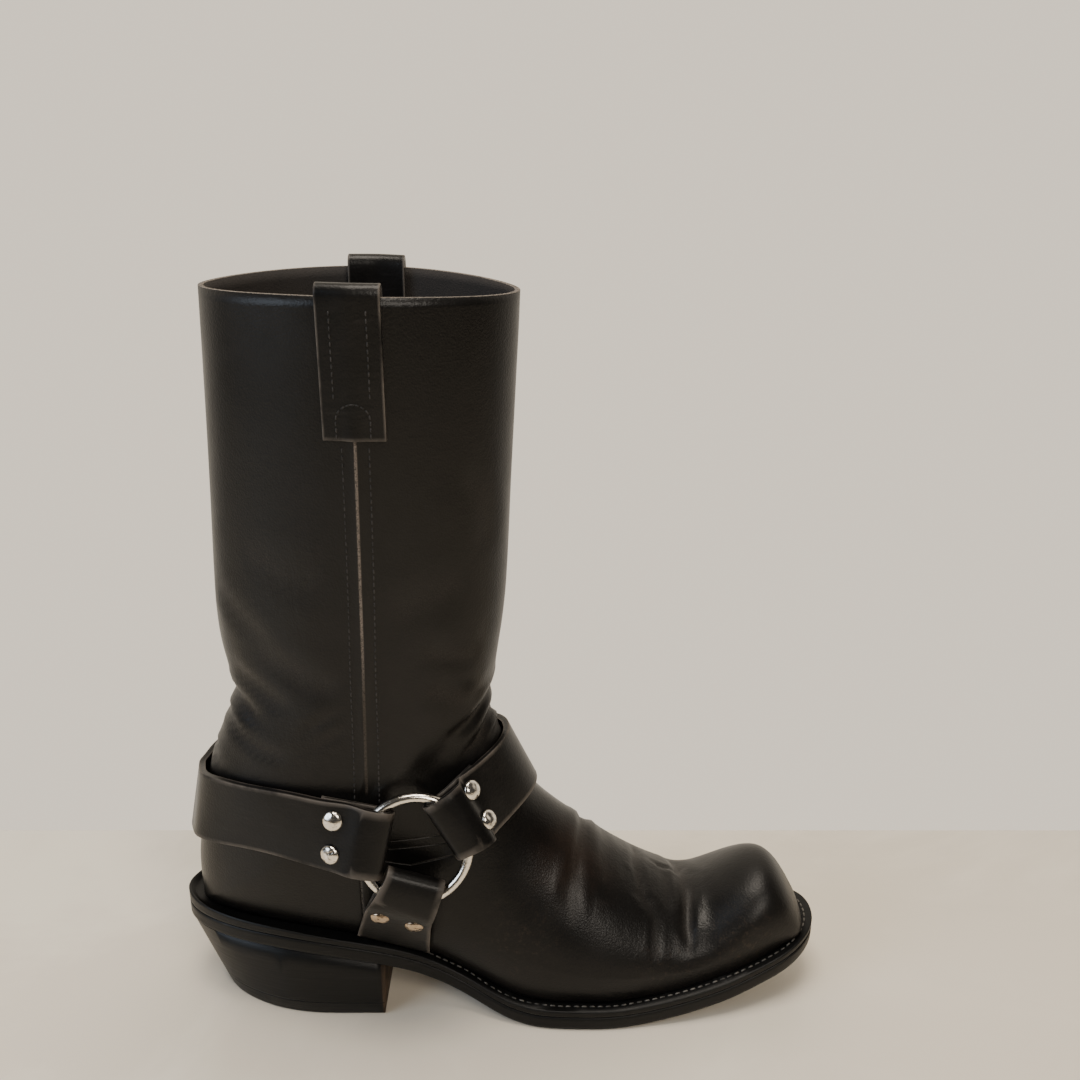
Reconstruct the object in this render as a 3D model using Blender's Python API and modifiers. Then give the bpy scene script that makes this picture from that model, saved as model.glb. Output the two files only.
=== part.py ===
"""Harness boot, right foot, standing empty on its sole.

Metres, +Z up. The origin is on the floor under the middle of the heel, +X runs to the toe
and +Y to the medial side, so the lateral side looks along -Y.
"""

import math
from collections import namedtuple

import bmesh
import bpy
from mathutils import Vector
from mathutils.bvhtree import BVHTree

# Gap kept between two pieces that rest on each other
GAP = 0.0003
# The upper's straight-sided lower edge follows the curved welt a little higher
SEAT_GAP = 0.0006

# Sole
SOLE_LENGTH = 0.305
HEEL_SETBACK = 0.061
BALL_WIDTH = 0.101
WAIST_WIDTH = 0.064
HEEL_WIDTH = 0.072
TOE_WIDTH = 0.043
HEEL_ROUND = 0.071
TOE_ROUND = 0.023
OUTSOLE_THICKNESS = 0.007
OUTSOLE_EDGE = 0.0009
WELT_THICKNESS = 0.0032
WELT_BAND = 0.014
RAND_RISE = 0.0025
TOE_SPRING = 0.0215
HEEL_HEIGHT = 0.0285
HEEL_BREAST = 0.0367
HEEL_BASE_SETBACK = 0.046
HEEL_BASE_WIDTH = 0.070
INSOLE_THICKNESS = 0.003
INSOLE_CLEARANCE = 0.0014

# Upper
FEATHER_INSET = 0.006
LEATHER = 0.0022
INSTEP_HEIGHT = 0.100
SHAFT_HEIGHT = 0.3375
SHAFT_DEPTH = 0.1324
SHAFT_WIDTH = 0.090
SHAFT_CENTRE = 0.0368
RIM_DIP = 0.0028
RIM_LIFT = 0.0026
SEAM_WIDTH = 0.0042
SEAM_RISE = 0.0012

# Harness
STRAP_THICKNESS = 0.003
STRAP_RETURN = 0.002
RETURN_LENGTH = 0.043
RING_DIAMETER = 0.0474
RING_WIRE = 0.0045
RING_TILT = math.radians(13)
RING_YAW = math.radians(7)
RIVET_DIAMETER = 0.0092
RIVET_DOME = 0.0024
RIVET_SETBACK = 0.0372
RIVET_SPACING = 0.0158

# Straps at the ring: bearing from the toe end upwards, then how far the lower and upper edges
# lie from the ring's centre line, in the strap and in the loop round the wire
Loop = namedtuple("Loop", "bearing low high loop_low loop_high")
HEEL_LOOP = Loop(math.radians(167), 0.0155, 0.0160, 0.0150, 0.0156)
INSTEP_LOOP = Loop(math.radians(30), 0.0165, 0.0145, 0.0140, 0.0145)
BASE_LOOP = Loop(math.radians(250.5), 0.0170, 0.0130, 0.0170, 0.0090)

# Pull straps
PULL_WIDTH = 0.0245
PULL_THICKNESS = 0.0026
PULL_OUTSIDE = 0.054
PULL_INSIDE = 0.045
PULL_STAND = 0.0012
PULL_CENTRE = 0.0388

# Straps: crest past the wire, slope beside it, step past a folded end, and passes that pull them taut
LOOP_CREST = 0.0024
LOOP_SLOPE = 0.006
RETURN_STEP = 0.009
TAUT_PASSES = 60
CAST_REACH = 0.050
STRAP_SPARE = 0.0004

# Places of the harness: shares of the sole length, and of the instep height above the seat
RING_ALONG = 0.3836
RING_UP = 0.690
BASE_FOOT_BACK = 0.283
BASE_FOOT_FRONT = 0.391
BASE_FOOT_INSET = 0.0038
HeelTurn = namedtuple("HeelTurn", "angle along half up")
HEEL_TURN = (
    HeelTurn(90, 0.2500, 0.430, 0.580),
    HeelTurn(80, 0.2130, 0.424, 0.590),
    HeelTurn(70, 0.1730, 0.406, 0.598),
    HeelTurn(61, 0.1390, 0.380, 0.600),
    HeelTurn(52, 0.1090, 0.340, 0.598),
    HeelTurn(42, 0.0790, 0.288, 0.590),
    HeelTurn(32, 0.0540, 0.228, 0.576),
    HeelTurn(22, 0.0350, 0.160, 0.560),
    HeelTurn(11, 0.0230, 0.082, 0.546),
    HeelTurn(0, 0.0190, 0.000, 0.540),
)
InstepTurn = namedtuple("InstepTurn", "angle along half up lean")
INSTEP_TURN = (
    InstepTurn(12, 0.4720, 0.386, 0.836, 0.12),
    InstepTurn(24, 0.4895, 0.360, 0.852, 0.18),
    InstepTurn(37, 0.5050, 0.320, 0.866, 0.26),
    InstepTurn(50, 0.5175, 0.260, 0.878, 0.33),
    InstepTurn(63, 0.5265, 0.182, 0.887, 0.39),
    InstepTurn(76, 0.5325, 0.094, 0.892, 0.43),
    InstepTurn(90, 0.5355, 0.000, 0.894, 0.45),
)

# Sole outline: place along the length, the width it belongs to, and its shares of that width
Outline = namedtuple("Outline", "along width lateral medial")
OUTLINE = (
    Outline(0.000, HEEL_WIDTH, 0.500, 0.500),
    Outline(0.233, HEEL_WIDTH, 0.500, 0.500),
    Outline(0.318, HEEL_WIDTH, 0.488, 0.484),
    Outline(0.387, WAIST_WIDTH, 0.505, 0.480),
    Outline(0.436, WAIST_WIDTH, 0.510, 0.492),
    Outline(0.480, BALL_WIDTH, 0.371, 0.344),
    Outline(0.512, BALL_WIDTH, 0.409, 0.380),
    Outline(0.549, BALL_WIDTH, 0.436, 0.424),
    Outline(0.598, BALL_WIDTH, 0.454, 0.480),
    Outline(0.656, BALL_WIDTH, 0.456, 0.525),
    Outline(0.718, BALL_WIDTH, 0.434, 0.541),
    Outline(0.777, BALL_WIDTH, 0.406, 0.519),
    Outline(0.839, BALL_WIDTH, 0.366, 0.465),
    Outline(0.895, BALL_WIDTH, 0.312, 0.389),
    Outline(0.941, BALL_WIDTH, 0.252, 0.309),
    Outline(1.000, TOE_WIDTH, 0.436, 0.564),
)

# Underside of the sole as shares of the heel height, up to the tread
Arch = namedtuple("Arch", "along height")
ARCH = (
    Arch(0.000, 1.28),
    Arch(0.075, 1.31),
    Arch(0.131, 1.31),
    Arch(0.200, 1.25),
    Arch(0.256, 1.14),
    Arch(0.316, 1.00),
    Arch(0.387, 0.69),
    Arch(0.436, 0.41),
    Arch(0.480, 0.19),
    Arch(0.512, 0.07),
    Arch(0.549, 0.00),
)
TREAD_END = 0.675
TREAD_START = 0.575

# Ridge of the foot from toe to shaft, placed by hand: seat is a share of the sole length, up is a share
# of the instep height above the seat. The curve through these points is smooth
Ridge = namedtuple("Ridge", "seat up")
RIDGE = (
    Ridge(0.95, 0.03),
    Ridge(0.92, 0.24),
    Ridge(0.88, 0.41),
    Ridge(0.85, 0.40),
    Ridge(0.79, 0.31),
    Ridge(0.75, 0.38),
    Ridge(0.67, 0.52),
    Ridge(0.57, 0.70),
    Ridge(0.48, 0.80),
    Ridge(0.40, 0.81),
    Ridge(0.26, 0.87),
    Ridge(0.03, 1.09),
)

# Foot sections from toe to heel. seat and ridge_along are shares of the sole length, the half widths
# are shares of the ball width
Section = namedtuple("Section", "seat ridge_along half belly crown lower drift")
FOOT = (
    Section(0.9480, 0.9800, 0.172, 0.20, 2.6, 2.0, 0.025),
    Section(0.9410, 0.9764, 0.190, 0.25, 2.7, 2.0, 0.025),
    Section(0.9312, 0.9659, 0.205, 0.25, 2.7, 2.0, 0.025),
    Section(0.9180, 0.9534, 0.222, 0.25, 2.7, 2.0, 0.027),
    Section(0.9016, 0.9397, 0.243, 0.25, 2.3, 2.0, 0.030),
    Section(0.8820, 0.9197, 0.270, 0.26, 2.1, 2.0, 0.035),
    Section(0.8590, 0.8885, 0.300, 0.27, 1.9, 2.0, 0.036),
    Section(0.8328, 0.8525, 0.330, 0.28, 1.75, 2.0, 0.038),
    Section(0.8033, 0.8180, 0.362, 0.29, 1.65, 2.0, 0.040),
    Section(0.7770, 0.7902, 0.388, 0.30, 1.6, 2.0, 0.042),
    Section(0.7475, 0.7623, 0.415, 0.30, 1.6, 2.0, 0.045),
    Section(0.7082, 0.7246, 0.446, 0.29, 1.65, 2.0, 0.048),
    Section(0.6656, 0.6902, 0.458, 0.28, 1.7, 2.0, 0.050),
    Section(0.6197, 0.6541, 0.450, 0.27, 1.75, 2.0, 0.050),
    Section(0.5672, 0.6213, 0.425, 0.27, 1.8, 2.0, 0.050),
    Section(0.5180, 0.5900, 0.402, 0.28, 1.85, 2.0, 0.048),
    Section(0.4623, 0.5557, 0.378, 0.30, 1.9, 2.0, 0.040),
    Section(0.4033, 0.5360, 0.362, 0.33, 1.9, 2.0, 0.032),
    Section(0.3377, 0.5197, 0.355, 0.36, 1.95, 2.0, 0.024),
    Section(0.2656, 0.5066, 0.353, 0.39, 1.95, 2.0, 0.018),
    Section(0.1934, 0.4967, 0.354, 0.42, 2.0, 2.0, 0.012),
    Section(0.1213, 0.4895, 0.356, 0.46, 2.0, 2.0, 0.006),
    Section(0.0689, 0.4872, 0.357, 0.50, 2.0, 2.1, 0.000),
    Section(0.0344, 0.4905, 0.359, 0.54, 2.0, 2.1, 0.000),
)

# Ankle sections close round the back of the heel. Heights are shares of the instep height above
# the heel seat, lengths are shares of the sole length, half is a share of the ball width
Ankle = namedtuple("Ankle", "back back_up front front_up half belly crown lower seam")
ANKLE = (
    Ankle(0.0197, 0.000, 0.4925, 1.126, 0.361, 0.57, 2.0, 2.1, 0.0),
    Ankle(0.0158, 0.096, 0.4948, 1.166, 0.363, 0.60, 2.0, 2.1, 0.3),
    Ankle(0.0170, 0.206, 0.4970, 1.206, 0.365, 0.61, 2.0, 2.1, 1.0),
    Ankle(0.0236, 0.326, 0.4990, 1.251, 0.367, 0.61, 2.0, 2.1, 1.0),
    Ankle(0.0320, 0.451, 0.5013, 1.296, 0.369, 0.60, 2.0, 2.1, 1.0),
    Ankle(0.0405, 0.576, 0.5039, 1.346, 0.372, 0.59, 2.0, 2.05, 1.0),
    Ankle(0.0515, 0.706, 0.5066, 1.396, 0.375, 0.575, 2.0, 2.0, 1.0),
    Ankle(0.0672, 0.836, 0.5092, 1.456, 0.379, 0.56, 2.0, 2.0, 1.0),
    Ankle(0.0869, 0.966, 0.5118, 1.521, 0.383, 0.545, 1.95, 1.95, 1.0),
    Ankle(0.1049, 1.086, 0.5141, 1.596, 0.388, 0.53, 1.95, 1.95, 1.0),
)

# Shaft sections. back and front are shares of the shaft depth either side of its centre, up is a
# share of the way from the last ankle section to the rim, half is a share of the shaft width
Shaft = namedtuple("Shaft", "back back_up front front_up half belly crown lower seam")
SHAFT = (
    Shaft(0.520, 0.066, 0.450, 0.070, 0.440, 0.545, 1.90, 1.90, 1.0),
    Shaft(0.541, 0.145, 0.455, 0.157, 0.448, 0.550, 1.90, 1.90, 1.0),
    Shaft(0.544, 0.238, 0.460, 0.266, 0.456, 0.550, 1.88, 1.88, 1.0),
    Shaft(0.537, 0.353, 0.466, 0.391, 0.465, 0.545, 1.86, 1.86, 1.0),
    Shaft(0.527, 0.490, 0.474, 0.531, 0.474, 0.540, 1.84, 1.84, 1.0),
    Shaft(0.518, 0.628, 0.481, 0.656, 0.483, 0.535, 1.82, 1.82, 1.0),
    Shaft(0.511, 0.766, 0.488, 0.781, 0.490, 0.530, 1.80, 1.80, 0.0),
    Shaft(0.505, 0.887, 0.495, 0.891, 0.496, 0.525, 1.78, 1.78, 0.0),
    Shaft(0.500, 1.000, 0.500, 1.000, 0.500, 0.515, 1.75, 1.75, 0.0),
)

# Columns of the upper's mesh on each side, below and above the side seam
LOWER_COLUMNS = 6
UPPER_COLUMNS = 8

# Colours as linear values
BLACK_LEATHER = (0.014, 0.013, 0.012, 1.0)
BLACK_SOLE = (0.010, 0.010, 0.010, 1.0)
BLACK_STRAP = (0.018, 0.016, 0.015, 1.0)
TAN_LEATHER = (0.120, 0.070, 0.040, 1.0)
NICKEL = (0.80, 0.76, 0.68, 1.0)


def curve_through(knots, values):
    """Return a smooth function through the knots that doesn't overshoot between them."""
    spans = [b - a for a, b in zip(knots, knots[1:])]
    slopes = [(b - a) / span for a, b, span in zip(values, values[1:], spans)]
    tangents = [slopes[0]]
    for before, after in zip(slopes, slopes[1:]):
        if before * after <= 0.0:
            tangents.append(0.0)
        else:
            tangents.append(2.0 * before * after / (before + after))
    tangents.append(slopes[-1])

    def value(place):
        place = min(max(place, knots[0]), knots[-1])
        index = 0
        while index < len(spans) - 1 and place > knots[index + 1]:
            index += 1
        t = (place - knots[index]) / spans[index]
        rise = spans[index]
        return (
            values[index] * (1 + 2 * t) * (1 - t) ** 2
            + tangents[index] * rise * t * (1 - t) ** 2
            + values[index + 1] * t * t * (3 - 2 * t)
            + tangents[index + 1] * rise * t * t * (t - 1)
        )

    return value


def along(share):
    """X of a share of the sole's length."""
    return share * SOLE_LENGTH - HEEL_SETBACK


KNOTS = [along(row.along) for row in OUTLINE]
lateral_edge = curve_through(KNOTS, [row.width * row.lateral for row in OUTLINE])
medial_edge = curve_through(KNOTS, [row.width * row.medial for row in OUTLINE])
arch_height = curve_through([along(row.along) for row in ARCH], [row.height * HEEL_HEIGHT for row in ARCH])


def underside(x):
    """Height of the outsole's lower face."""
    spring_start = along(TREAD_END)
    if x <= spring_start:
        return arch_height(x)
    return TOE_SPRING * ((x - spring_start) / (along(1.0) - spring_start)) ** 1.5


def welt_base(x):
    return underside(x) + OUTSOLE_THICKNESS + GAP


def seat_height(x):
    """Height of the welt's upper face, where the upper stands."""
    return welt_base(x) + WELT_THICKNESS


def rounded(share, power):
    """Width left at a share of the way into a rounded end."""
    share = min(max(share, 0.0), 1.0)
    return (1.0 - share**power) ** (1.0 / power)


def sole_sides(x, inset):
    """Y of the lateral and the medial edge of the sole, drawn in by an inset."""
    back = along(0.0) + inset
    toe = along(1.0) - inset
    middle = (medial_edge(x) - lateral_edge(x)) / 2
    half = (medial_edge(x) + lateral_edge(x)) / 2 - inset
    heel_round = HEEL_ROUND - inset
    toe_round = TOE_ROUND - inset
    half *= rounded((back + heel_round - x) / heel_round, 1.9)
    half *= rounded((x - toe + toe_round) / toe_round, 2.4)
    return middle - half, middle + half


def sole_places(inset):
    """X of the stations along the sole, closer together at its round ends."""
    back = along(0.0) + inset
    toe = along(1.0) - inset
    heel_steps = 8
    toe_steps = 6
    heel_round = HEEL_ROUND - inset
    toe_round = TOE_ROUND - inset
    places = [back + heel_round * (1 - math.cos(math.pi / 2 * i / heel_steps)) for i in range(heel_steps)]
    middle = [0.233, 0.275, 0.318, 0.352, 0.387, 0.436, 0.480, 0.512, 0.549]
    middle += [TREAD_START, 0.625, TREAD_END, 0.718, 0.760, 0.800, 0.839, 0.870]
    places += [along(share) for share in middle]
    start = toe - toe_round
    places += [start + toe_round * math.sin(math.pi / 2 * i / toe_steps) for i in range(toe_steps + 1)]
    return places


def sole_loop(inset, height, spread=0.0):
    """One closed loop round the sole, from the back along the lateral side to the toe and back."""
    places = sole_places(inset)
    lateral = []
    medial = []
    for x in places:
        low, high = sole_sides(x, inset)
        lateral.append(Vector((x, low, height(x) + spread)))
        medial.append(Vector((x, high, height(x) + spread)))
    return lateral + medial[-2:0:-1]


def add_object(name, mesh, material):
    mesh.materials.append(material)
    item = bpy.data.objects.new(name, mesh)
    bpy.data.collections[COLLECTION].objects.link(item)
    return item


def finish_mesh(name, work, smooth=None):
    """Turn the faces out and store them as a mesh."""
    bmesh.ops.remove_doubles(work, verts=work.verts, dist=1e-6)
    bmesh.ops.recalc_face_normals(work, faces=work.faces)
    mesh = bpy.data.meshes.new(name)
    work.to_mesh(mesh)
    work.free()
    if smooth is not None:
        mesh.shade_smooth()
        mesh.set_sharp_from_angle(angle=math.radians(smooth))
    return mesh


def plate(name, loops, material):
    """Solid between stacked loops that share their stations, capped by strips across."""
    work = bmesh.new()
    rows = [[work.verts.new(point) for point in loop] for loop in loops]
    count = len(rows[0])
    for lower, upper in zip(rows, rows[1:]):
        for i in range(count):
            j = (i + 1) % count
            work.faces.new((lower[i], lower[j], upper[j], upper[i]))
    for row in (rows[0], rows[-1]):
        work.faces.new((row[0], row[1], row[-1]))
        last = count // 2
        for i in range(1, last - 1):
            work.faces.new((row[i], row[i + 1], row[count - i - 1], row[count - i]))
        work.faces.new((row[last - 1], row[last], row[last + 1]))
    return add_object(name, finish_mesh(name, work, 35), material)


def make_outsole(material):
    def top(x):
        return underside(x) + OUTSOLE_THICKNESS

    loops = [
        sole_loop(OUTSOLE_EDGE, underside),
        sole_loop(0.0, underside, OUTSOLE_EDGE),
        sole_loop(0.0, top, -OUTSOLE_EDGE / 2),
        sole_loop(OUTSOLE_EDGE / 2, top),
    ]
    return plate("outsole", loops, material)


def make_welt(material):
    """Band round the edge of the sole, with the rand's lip raised round the heel."""
    lip_end = along(0.24)

    def lip(x):
        share = min(max((lip_end - x) / (lip_end - along(0.0)), 0.0), 1.0)
        return seat_height(x) + RAND_RISE * share

    edge = OUTSOLE_EDGE / 2
    loops = [
        sole_loop(edge, welt_base),
        sole_loop(0.0, welt_base, edge),
        sole_loop(0.0, lip, -edge),
        sole_loop(edge, lip),
        sole_loop(2 * edge, lip),
        sole_loop(FEATHER_INSET * 0.6, seat_height),
        sole_loop(WELT_BAND, seat_height),
        sole_loop(WELT_BAND, welt_base),
    ]
    work = bmesh.new()
    rows = [[work.verts.new(point) for point in loop] for loop in loops]
    count = len(rows[0])
    for k, lower in enumerate(rows):
        upper = rows[(k + 1) % len(rows)]
        for i in range(count):
            j = (i + 1) % count
            work.faces.new((lower[i], lower[j], upper[j], upper[i]))
    return add_object("welt", finish_mesh("welt", work, 35), material)


def make_insole(material):
    inset = FEATHER_INSET + LEATHER + INSOLE_CLEARANCE

    def base(x):
        return seat_height(x) + GAP

    loops = [sole_loop(inset, base), sole_loop(inset, base, INSOLE_THICKNESS)]
    return plate("insole", loops, material)


def make_heel(material):
    """Stacked heel whose back and sides lean in towards its flat base."""
    steps = 10
    centre = along(0.0) + HEEL_ROUND

    def loop(setback, width, inset, height):
        back = inset - setback
        run = centre - back
        places = [back + run * (1 - math.cos(math.pi / 2 * i / steps)) for i in range(steps)]
        places += [centre, (centre + HEEL_BREAST) / 2, HEEL_BREAST - inset]
        lateral = []
        medial = []
        for x in places:
            half = (width / 2 - inset) * rounded((centre - x) / run, 1.9)
            lateral.append(Vector((x, -half, height(x))))
            medial.append(Vector((x, half, height(x))))
        return lateral + medial[:0:-1]

    loops = [
        loop(HEEL_BASE_SETBACK, HEEL_BASE_WIDTH, OUTSOLE_EDGE, lambda x: 0.0),
        loop(HEEL_BASE_SETBACK, HEEL_BASE_WIDTH, 0.0, lambda x: OUTSOLE_EDGE),
        loop(HEEL_SETBACK, HEEL_WIDTH, OUTSOLE_EDGE, lambda x: underside(x) - GAP),
    ]
    work = bmesh.new()
    rows = [[work.verts.new(point) for point in each] for each in loops]
    count = len(rows[0])
    for lower, upper in zip(rows, rows[1:]):
        for i in range(count):
            j = (i + 1) % count
            work.faces.new((lower[i], lower[j], upper[j], upper[i]))
    for row in (rows[0], rows[-1]):
        work.faces.new((row[0], row[1], row[-1]))
        for i in range(1, count // 2):
            work.faces.new((row[i], row[i + 1], row[count - i - 1], row[count - i]))
    return add_object("heel", finish_mesh("heel", work, 35), material)


def even_steps(points, steps):
    """Points at even steps along a polyline."""
    lengths = [0.0]
    for a, b in zip(points, points[1:]):
        lengths.append(lengths[-1] + (b - a).length)
    result = []
    index = 0
    for step in range(steps + 1):
        target = lengths[-1] * step / steps
        while index < len(points) - 2 and lengths[index + 1] < target:
            index += 1
        span = lengths[index + 1] - lengths[index]
        share = 0.0 if span == 0.0 else (target - lengths[index]) / span
        result.append(points[index].lerp(points[index + 1], min(share, 1.0)))
    return result


def section_side(foot, head, seat, half, row, lift):
    """Medial half of a section in two runs: seat to side seam, then side seam to ridge."""
    fine = 40
    ratio = min(seat / half, 1.0)
    reach = (1.0 - ratio**row.lower) ** (1.0 / row.lower)

    def place(up, out):
        point = foot.lerp(head, up)
        point.y += out
        point.z += lift * 4 * up * (1 - up)
        return point

    low = []
    high = []
    for i in range(fine + 1):
        angle = math.pi / 2 * i / fine
        low_out = half * (1.0 - (reach * math.cos(angle)) ** row.lower) ** (1.0 / row.lower)
        low.append(place(row.belly * (1.0 - math.cos(angle)), low_out))
        high_up = row.belly + (1 - row.belly) * math.sin(angle) ** (2.0 / row.crown)
        high.append(place(high_up, half * math.cos(angle) ** (2.0 / row.crown)))
    return low, high


def section_ring(foot, head, seat, half, row, lift=0.0, seam=0.0):
    """Points of one section from the lateral seat over the ridge to the medial seat."""
    low, high = section_side(foot, head, seat, half, row, lift)
    below = even_steps(low, LOWER_COLUMNS)
    above = even_steps(high, UPPER_COLUMNS)
    before = beside_seam(below[-1], below[-2])
    after = beside_seam(above[0], above[1])
    peak = below[-1].copy()
    peak.y += seam
    medial = below[:-1] + [before, peak, after] + above[1:]
    lateral = [mirrored(point, foot, head) for point in medial]
    return lateral + medial[-2::-1]


def beside_seam(seam, neighbour):
    """Foot of the raised seam, on the way to the next column."""
    return seam.lerp(neighbour, min(SEAM_WIDTH / 2 / (neighbour - seam).length, 0.5))


def mirrored(point, foot, head):
    """The same point on the other side of the line from foot to head."""
    run = head - foot
    flat = Vector((run.x, 0.0, run.z))
    share = Vector((point.x - foot.x, 0.0, point.z - foot.z)).dot(flat) / flat.dot(flat)
    middle = foot.y + run.y * share
    return Vector((point.x, 2 * middle - point.y, point.z))


def ridge_up(seat):
    """Height of the ridge at a share of the sole length, on a smooth curve through RIDGE."""
    last = len(RIDGE) - 1
    slopes = []
    for i in range(len(RIDGE)):
        before = RIDGE[max(i - 1, 0)]
        after = RIDGE[min(i + 1, last)]
        slopes.append((after.up - before.up) / (after.seat - before.seat))
    i = next((k for k in range(last) if seat >= RIDGE[k + 1].seat), last - 1)
    start = RIDGE[i]
    end = RIDGE[i + 1]
    span = end.seat - start.seat
    t = (seat - start.seat) / span
    bend = slopes[i] * t * (1 - t) ** 2 - slopes[i + 1] * t * t * (1 - t)
    return start.up + (end.up - start.up) * t * t * (3 - 2 * t) + span * bend


def upper_rings():
    """Sections of the upper's outer face: open ones over the sole, closed ones above."""
    rings = []
    for row in FOOT:
        x = along(row.seat)
        low, high = sole_sides(x, FEATHER_INSET)
        seat = (high - low) / 2
        foot = Vector((x, (low + high) / 2, seat_height(x) + SEAT_GAP))
        head = Vector((along(row.ridge_along), row.drift * BALL_WIDTH, 0.0))
        head.z = foot.z + ridge_up(row.seat) * INSTEP_HEIGHT
        rings.append(section_ring(foot, head, seat, max(row.half * BALL_WIDTH, seat), row))
    base = seat_height(along(ANKLE[0].back)) + SEAT_GAP
    for row in ANKLE:
        foot = Vector((along(row.back), 0.0, base + row.back_up * INSTEP_HEIGHT))
        head = Vector((along(row.front), 0.0, base + row.front_up * INSTEP_HEIGHT))
        rings.append(section_ring(foot, head, 0.0, row.half * BALL_WIDTH, row, 0.0, row.seam * SEAM_RISE))
    back_start = base + ANKLE[-1].back_up * INSTEP_HEIGHT
    front_start = base + ANKLE[-1].front_up * INSTEP_HEIGHT
    for row in SHAFT:
        foot = Vector((SHAFT_CENTRE - row.back * SHAFT_DEPTH, 0.0, 0.0))
        foot.z = back_start + row.back_up * (SHAFT_HEIGHT - back_start)
        head = Vector((SHAFT_CENTRE + row.front * SHAFT_DEPTH, 0.0, 0.0))
        head.z = front_start + row.front_up * (SHAFT_HEIGHT - RIM_DIP - front_start)
        lift = RIM_LIFT * row.back_up
        rings.append(section_ring(foot, head, 0.0, row.half * SHAFT_WIDTH, row, lift, row.seam * SEAM_RISE))
    return rings


def upper_surface(rings):
    """Open surface through the rings, closed at the back where both ends of a ring meet."""
    work = bmesh.new()
    rows = [[work.verts.new(point) for point in ring] for ring in rings]
    for lower, upper in zip(rows, rows[1:]):
        for i in range(len(lower) - 1):
            work.faces.new((lower[i], lower[i + 1], upper[i + 1], upper[i]))
    bmesh.ops.remove_doubles(work, verts=work.verts, dist=1e-5)
    bmesh.ops.recalc_face_normals(work, faces=work.faces)
    middle = work.faces[:]
    rim = max(middle, key=lambda face: face.calc_center_median().x)
    if rim.normal.x < 0:
        bmesh.ops.reverse_faces(work, faces=work.faces)
    return work


def make_upper(rings, material):
    work = upper_surface(rings)
    mesh = bpy.data.meshes.new("upper")
    work.to_mesh(mesh)
    work.free()
    mesh.shade_smooth()
    item = add_object("upper", mesh, material)
    wall = item.modifiers.new("Wall", "SOLIDIFY")
    wall.thickness = LEATHER
    wall.offset = -1.0
    wall.use_even_offset = True
    wall.thickness_clamp = 0.6
    return item


def surface_tree(rings):
    work = upper_surface(rings)
    tree = BVHTree.FromBMesh(work)
    work.free()
    return tree


def rise_along(tree, point, outward):
    """How far out from a point, along a direction, the upper's outer face lies."""
    start = point + outward * CAST_REACH
    hit = tree.ray_cast(start, -outward, 2 * CAST_REACH)[0]
    if hit is None:
        return -CAST_REACH
    return (hit - point).dot(outward)


def wire_room():
    """Radius that a strap keeps round the ring's wire."""
    return RING_WIRE / 2 + GAP


def clear_of_return(run):
    """Height of a strap's middle plane over the upper, with its folded end between them."""
    folded = wire_room() + STRAP_RETURN + GAP
    share = min(max((run - RETURN_LENGTH - GAP) / RETURN_STEP, 0.0), 1.0)
    return folded + (wire_room() - folded) * share


Seat = namedtuple("Seat", "centre forward up out side")


def ring_seat(tree, side):
    """Centre and axes of a harness ring, held just clear of the upper."""
    out = Vector((
        math.sin(RING_YAW) * math.cos(RING_TILT),
        side * math.cos(RING_YAW) * math.cos(RING_TILT),
        math.sin(RING_TILT),
    ))
    forward = Vector((math.cos(RING_YAW), -side * math.sin(RING_YAW), 0.0))
    up = (forward.cross(out) * side).normalized()
    x = along(RING_ALONG)
    planned = Vector((x, side * BALL_WIDTH / 2, seat_height(x) + RING_UP * INSTEP_HEIGHT))
    reach = RING_DIAMETER / 2 + RING_WIRE
    highest = rise_along(tree, planned, out)
    for ray in range(16):
        angle = 2 * math.pi * ray / 16
        spot = planned + (forward * math.cos(angle) + up * math.sin(angle)) * reach
        highest = max(highest, rise_along(tree, spot, out))
    return Seat(planned + out * (highest + clear_of_return(0.0)), forward, up, out, side)


Station = namedtuple("Station", "low high out run")


def straight_part(seat, loop):
    """First stations of a strap, from the ring's centre out along its bearing."""
    heading = seat.forward * math.cos(loop.bearing) + seat.up * math.sin(loop.bearing)
    across = seat.up * math.cos(loop.bearing) - seat.forward * math.sin(loop.bearing)
    if across.z < 0:
        across.negate()
    past = RING_DIAMETER / 2 + LOOP_CREST + LOOP_SLOPE
    rows = (
        (0.0, loop.loop_low, loop.loop_high),
        (loop_fold(loop), loop.loop_low, loop.loop_high),
        (past, loop.low, loop.high),
    )
    stations = []
    for run, low, high in rows:
        middle = seat.centre + heading * run
        stations.append(Station(middle - across * low, middle + across * high, seat.out, run))
    return stations


def loop_fold(loop):
    """Distance from the ring's centre to the middle of a loop's fold, clear of the wire all across."""
    inside = RING_DIAMETER / 2 - wire_room()
    return math.sqrt(inside**2 - max(loop.loop_low, loop.loop_high) ** 2) + RING_WIRE / 2


def midway(station):
    return station.low.lerp(station.high, 0.5)


def follow(start, turns, finish, loop):
    """Stations of a strap that runs from one ring past the turns given to the other."""
    middles = [midway(start[-1])] + [place for place, out in turns] + [midway(finish[-1])]
    stations = list(start)
    for before, (place, out), after in zip(middles, turns, middles[2:]):
        across = out.cross(after - before).normalized()
        if across.z < 0:
            across.negate()
        half = (loop.low + loop.high) / 2
        stations.append(Station(place - across * half, place + across * half, out, 0.0))
    stations += reversed(finish)
    return with_runs(stations)


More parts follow.
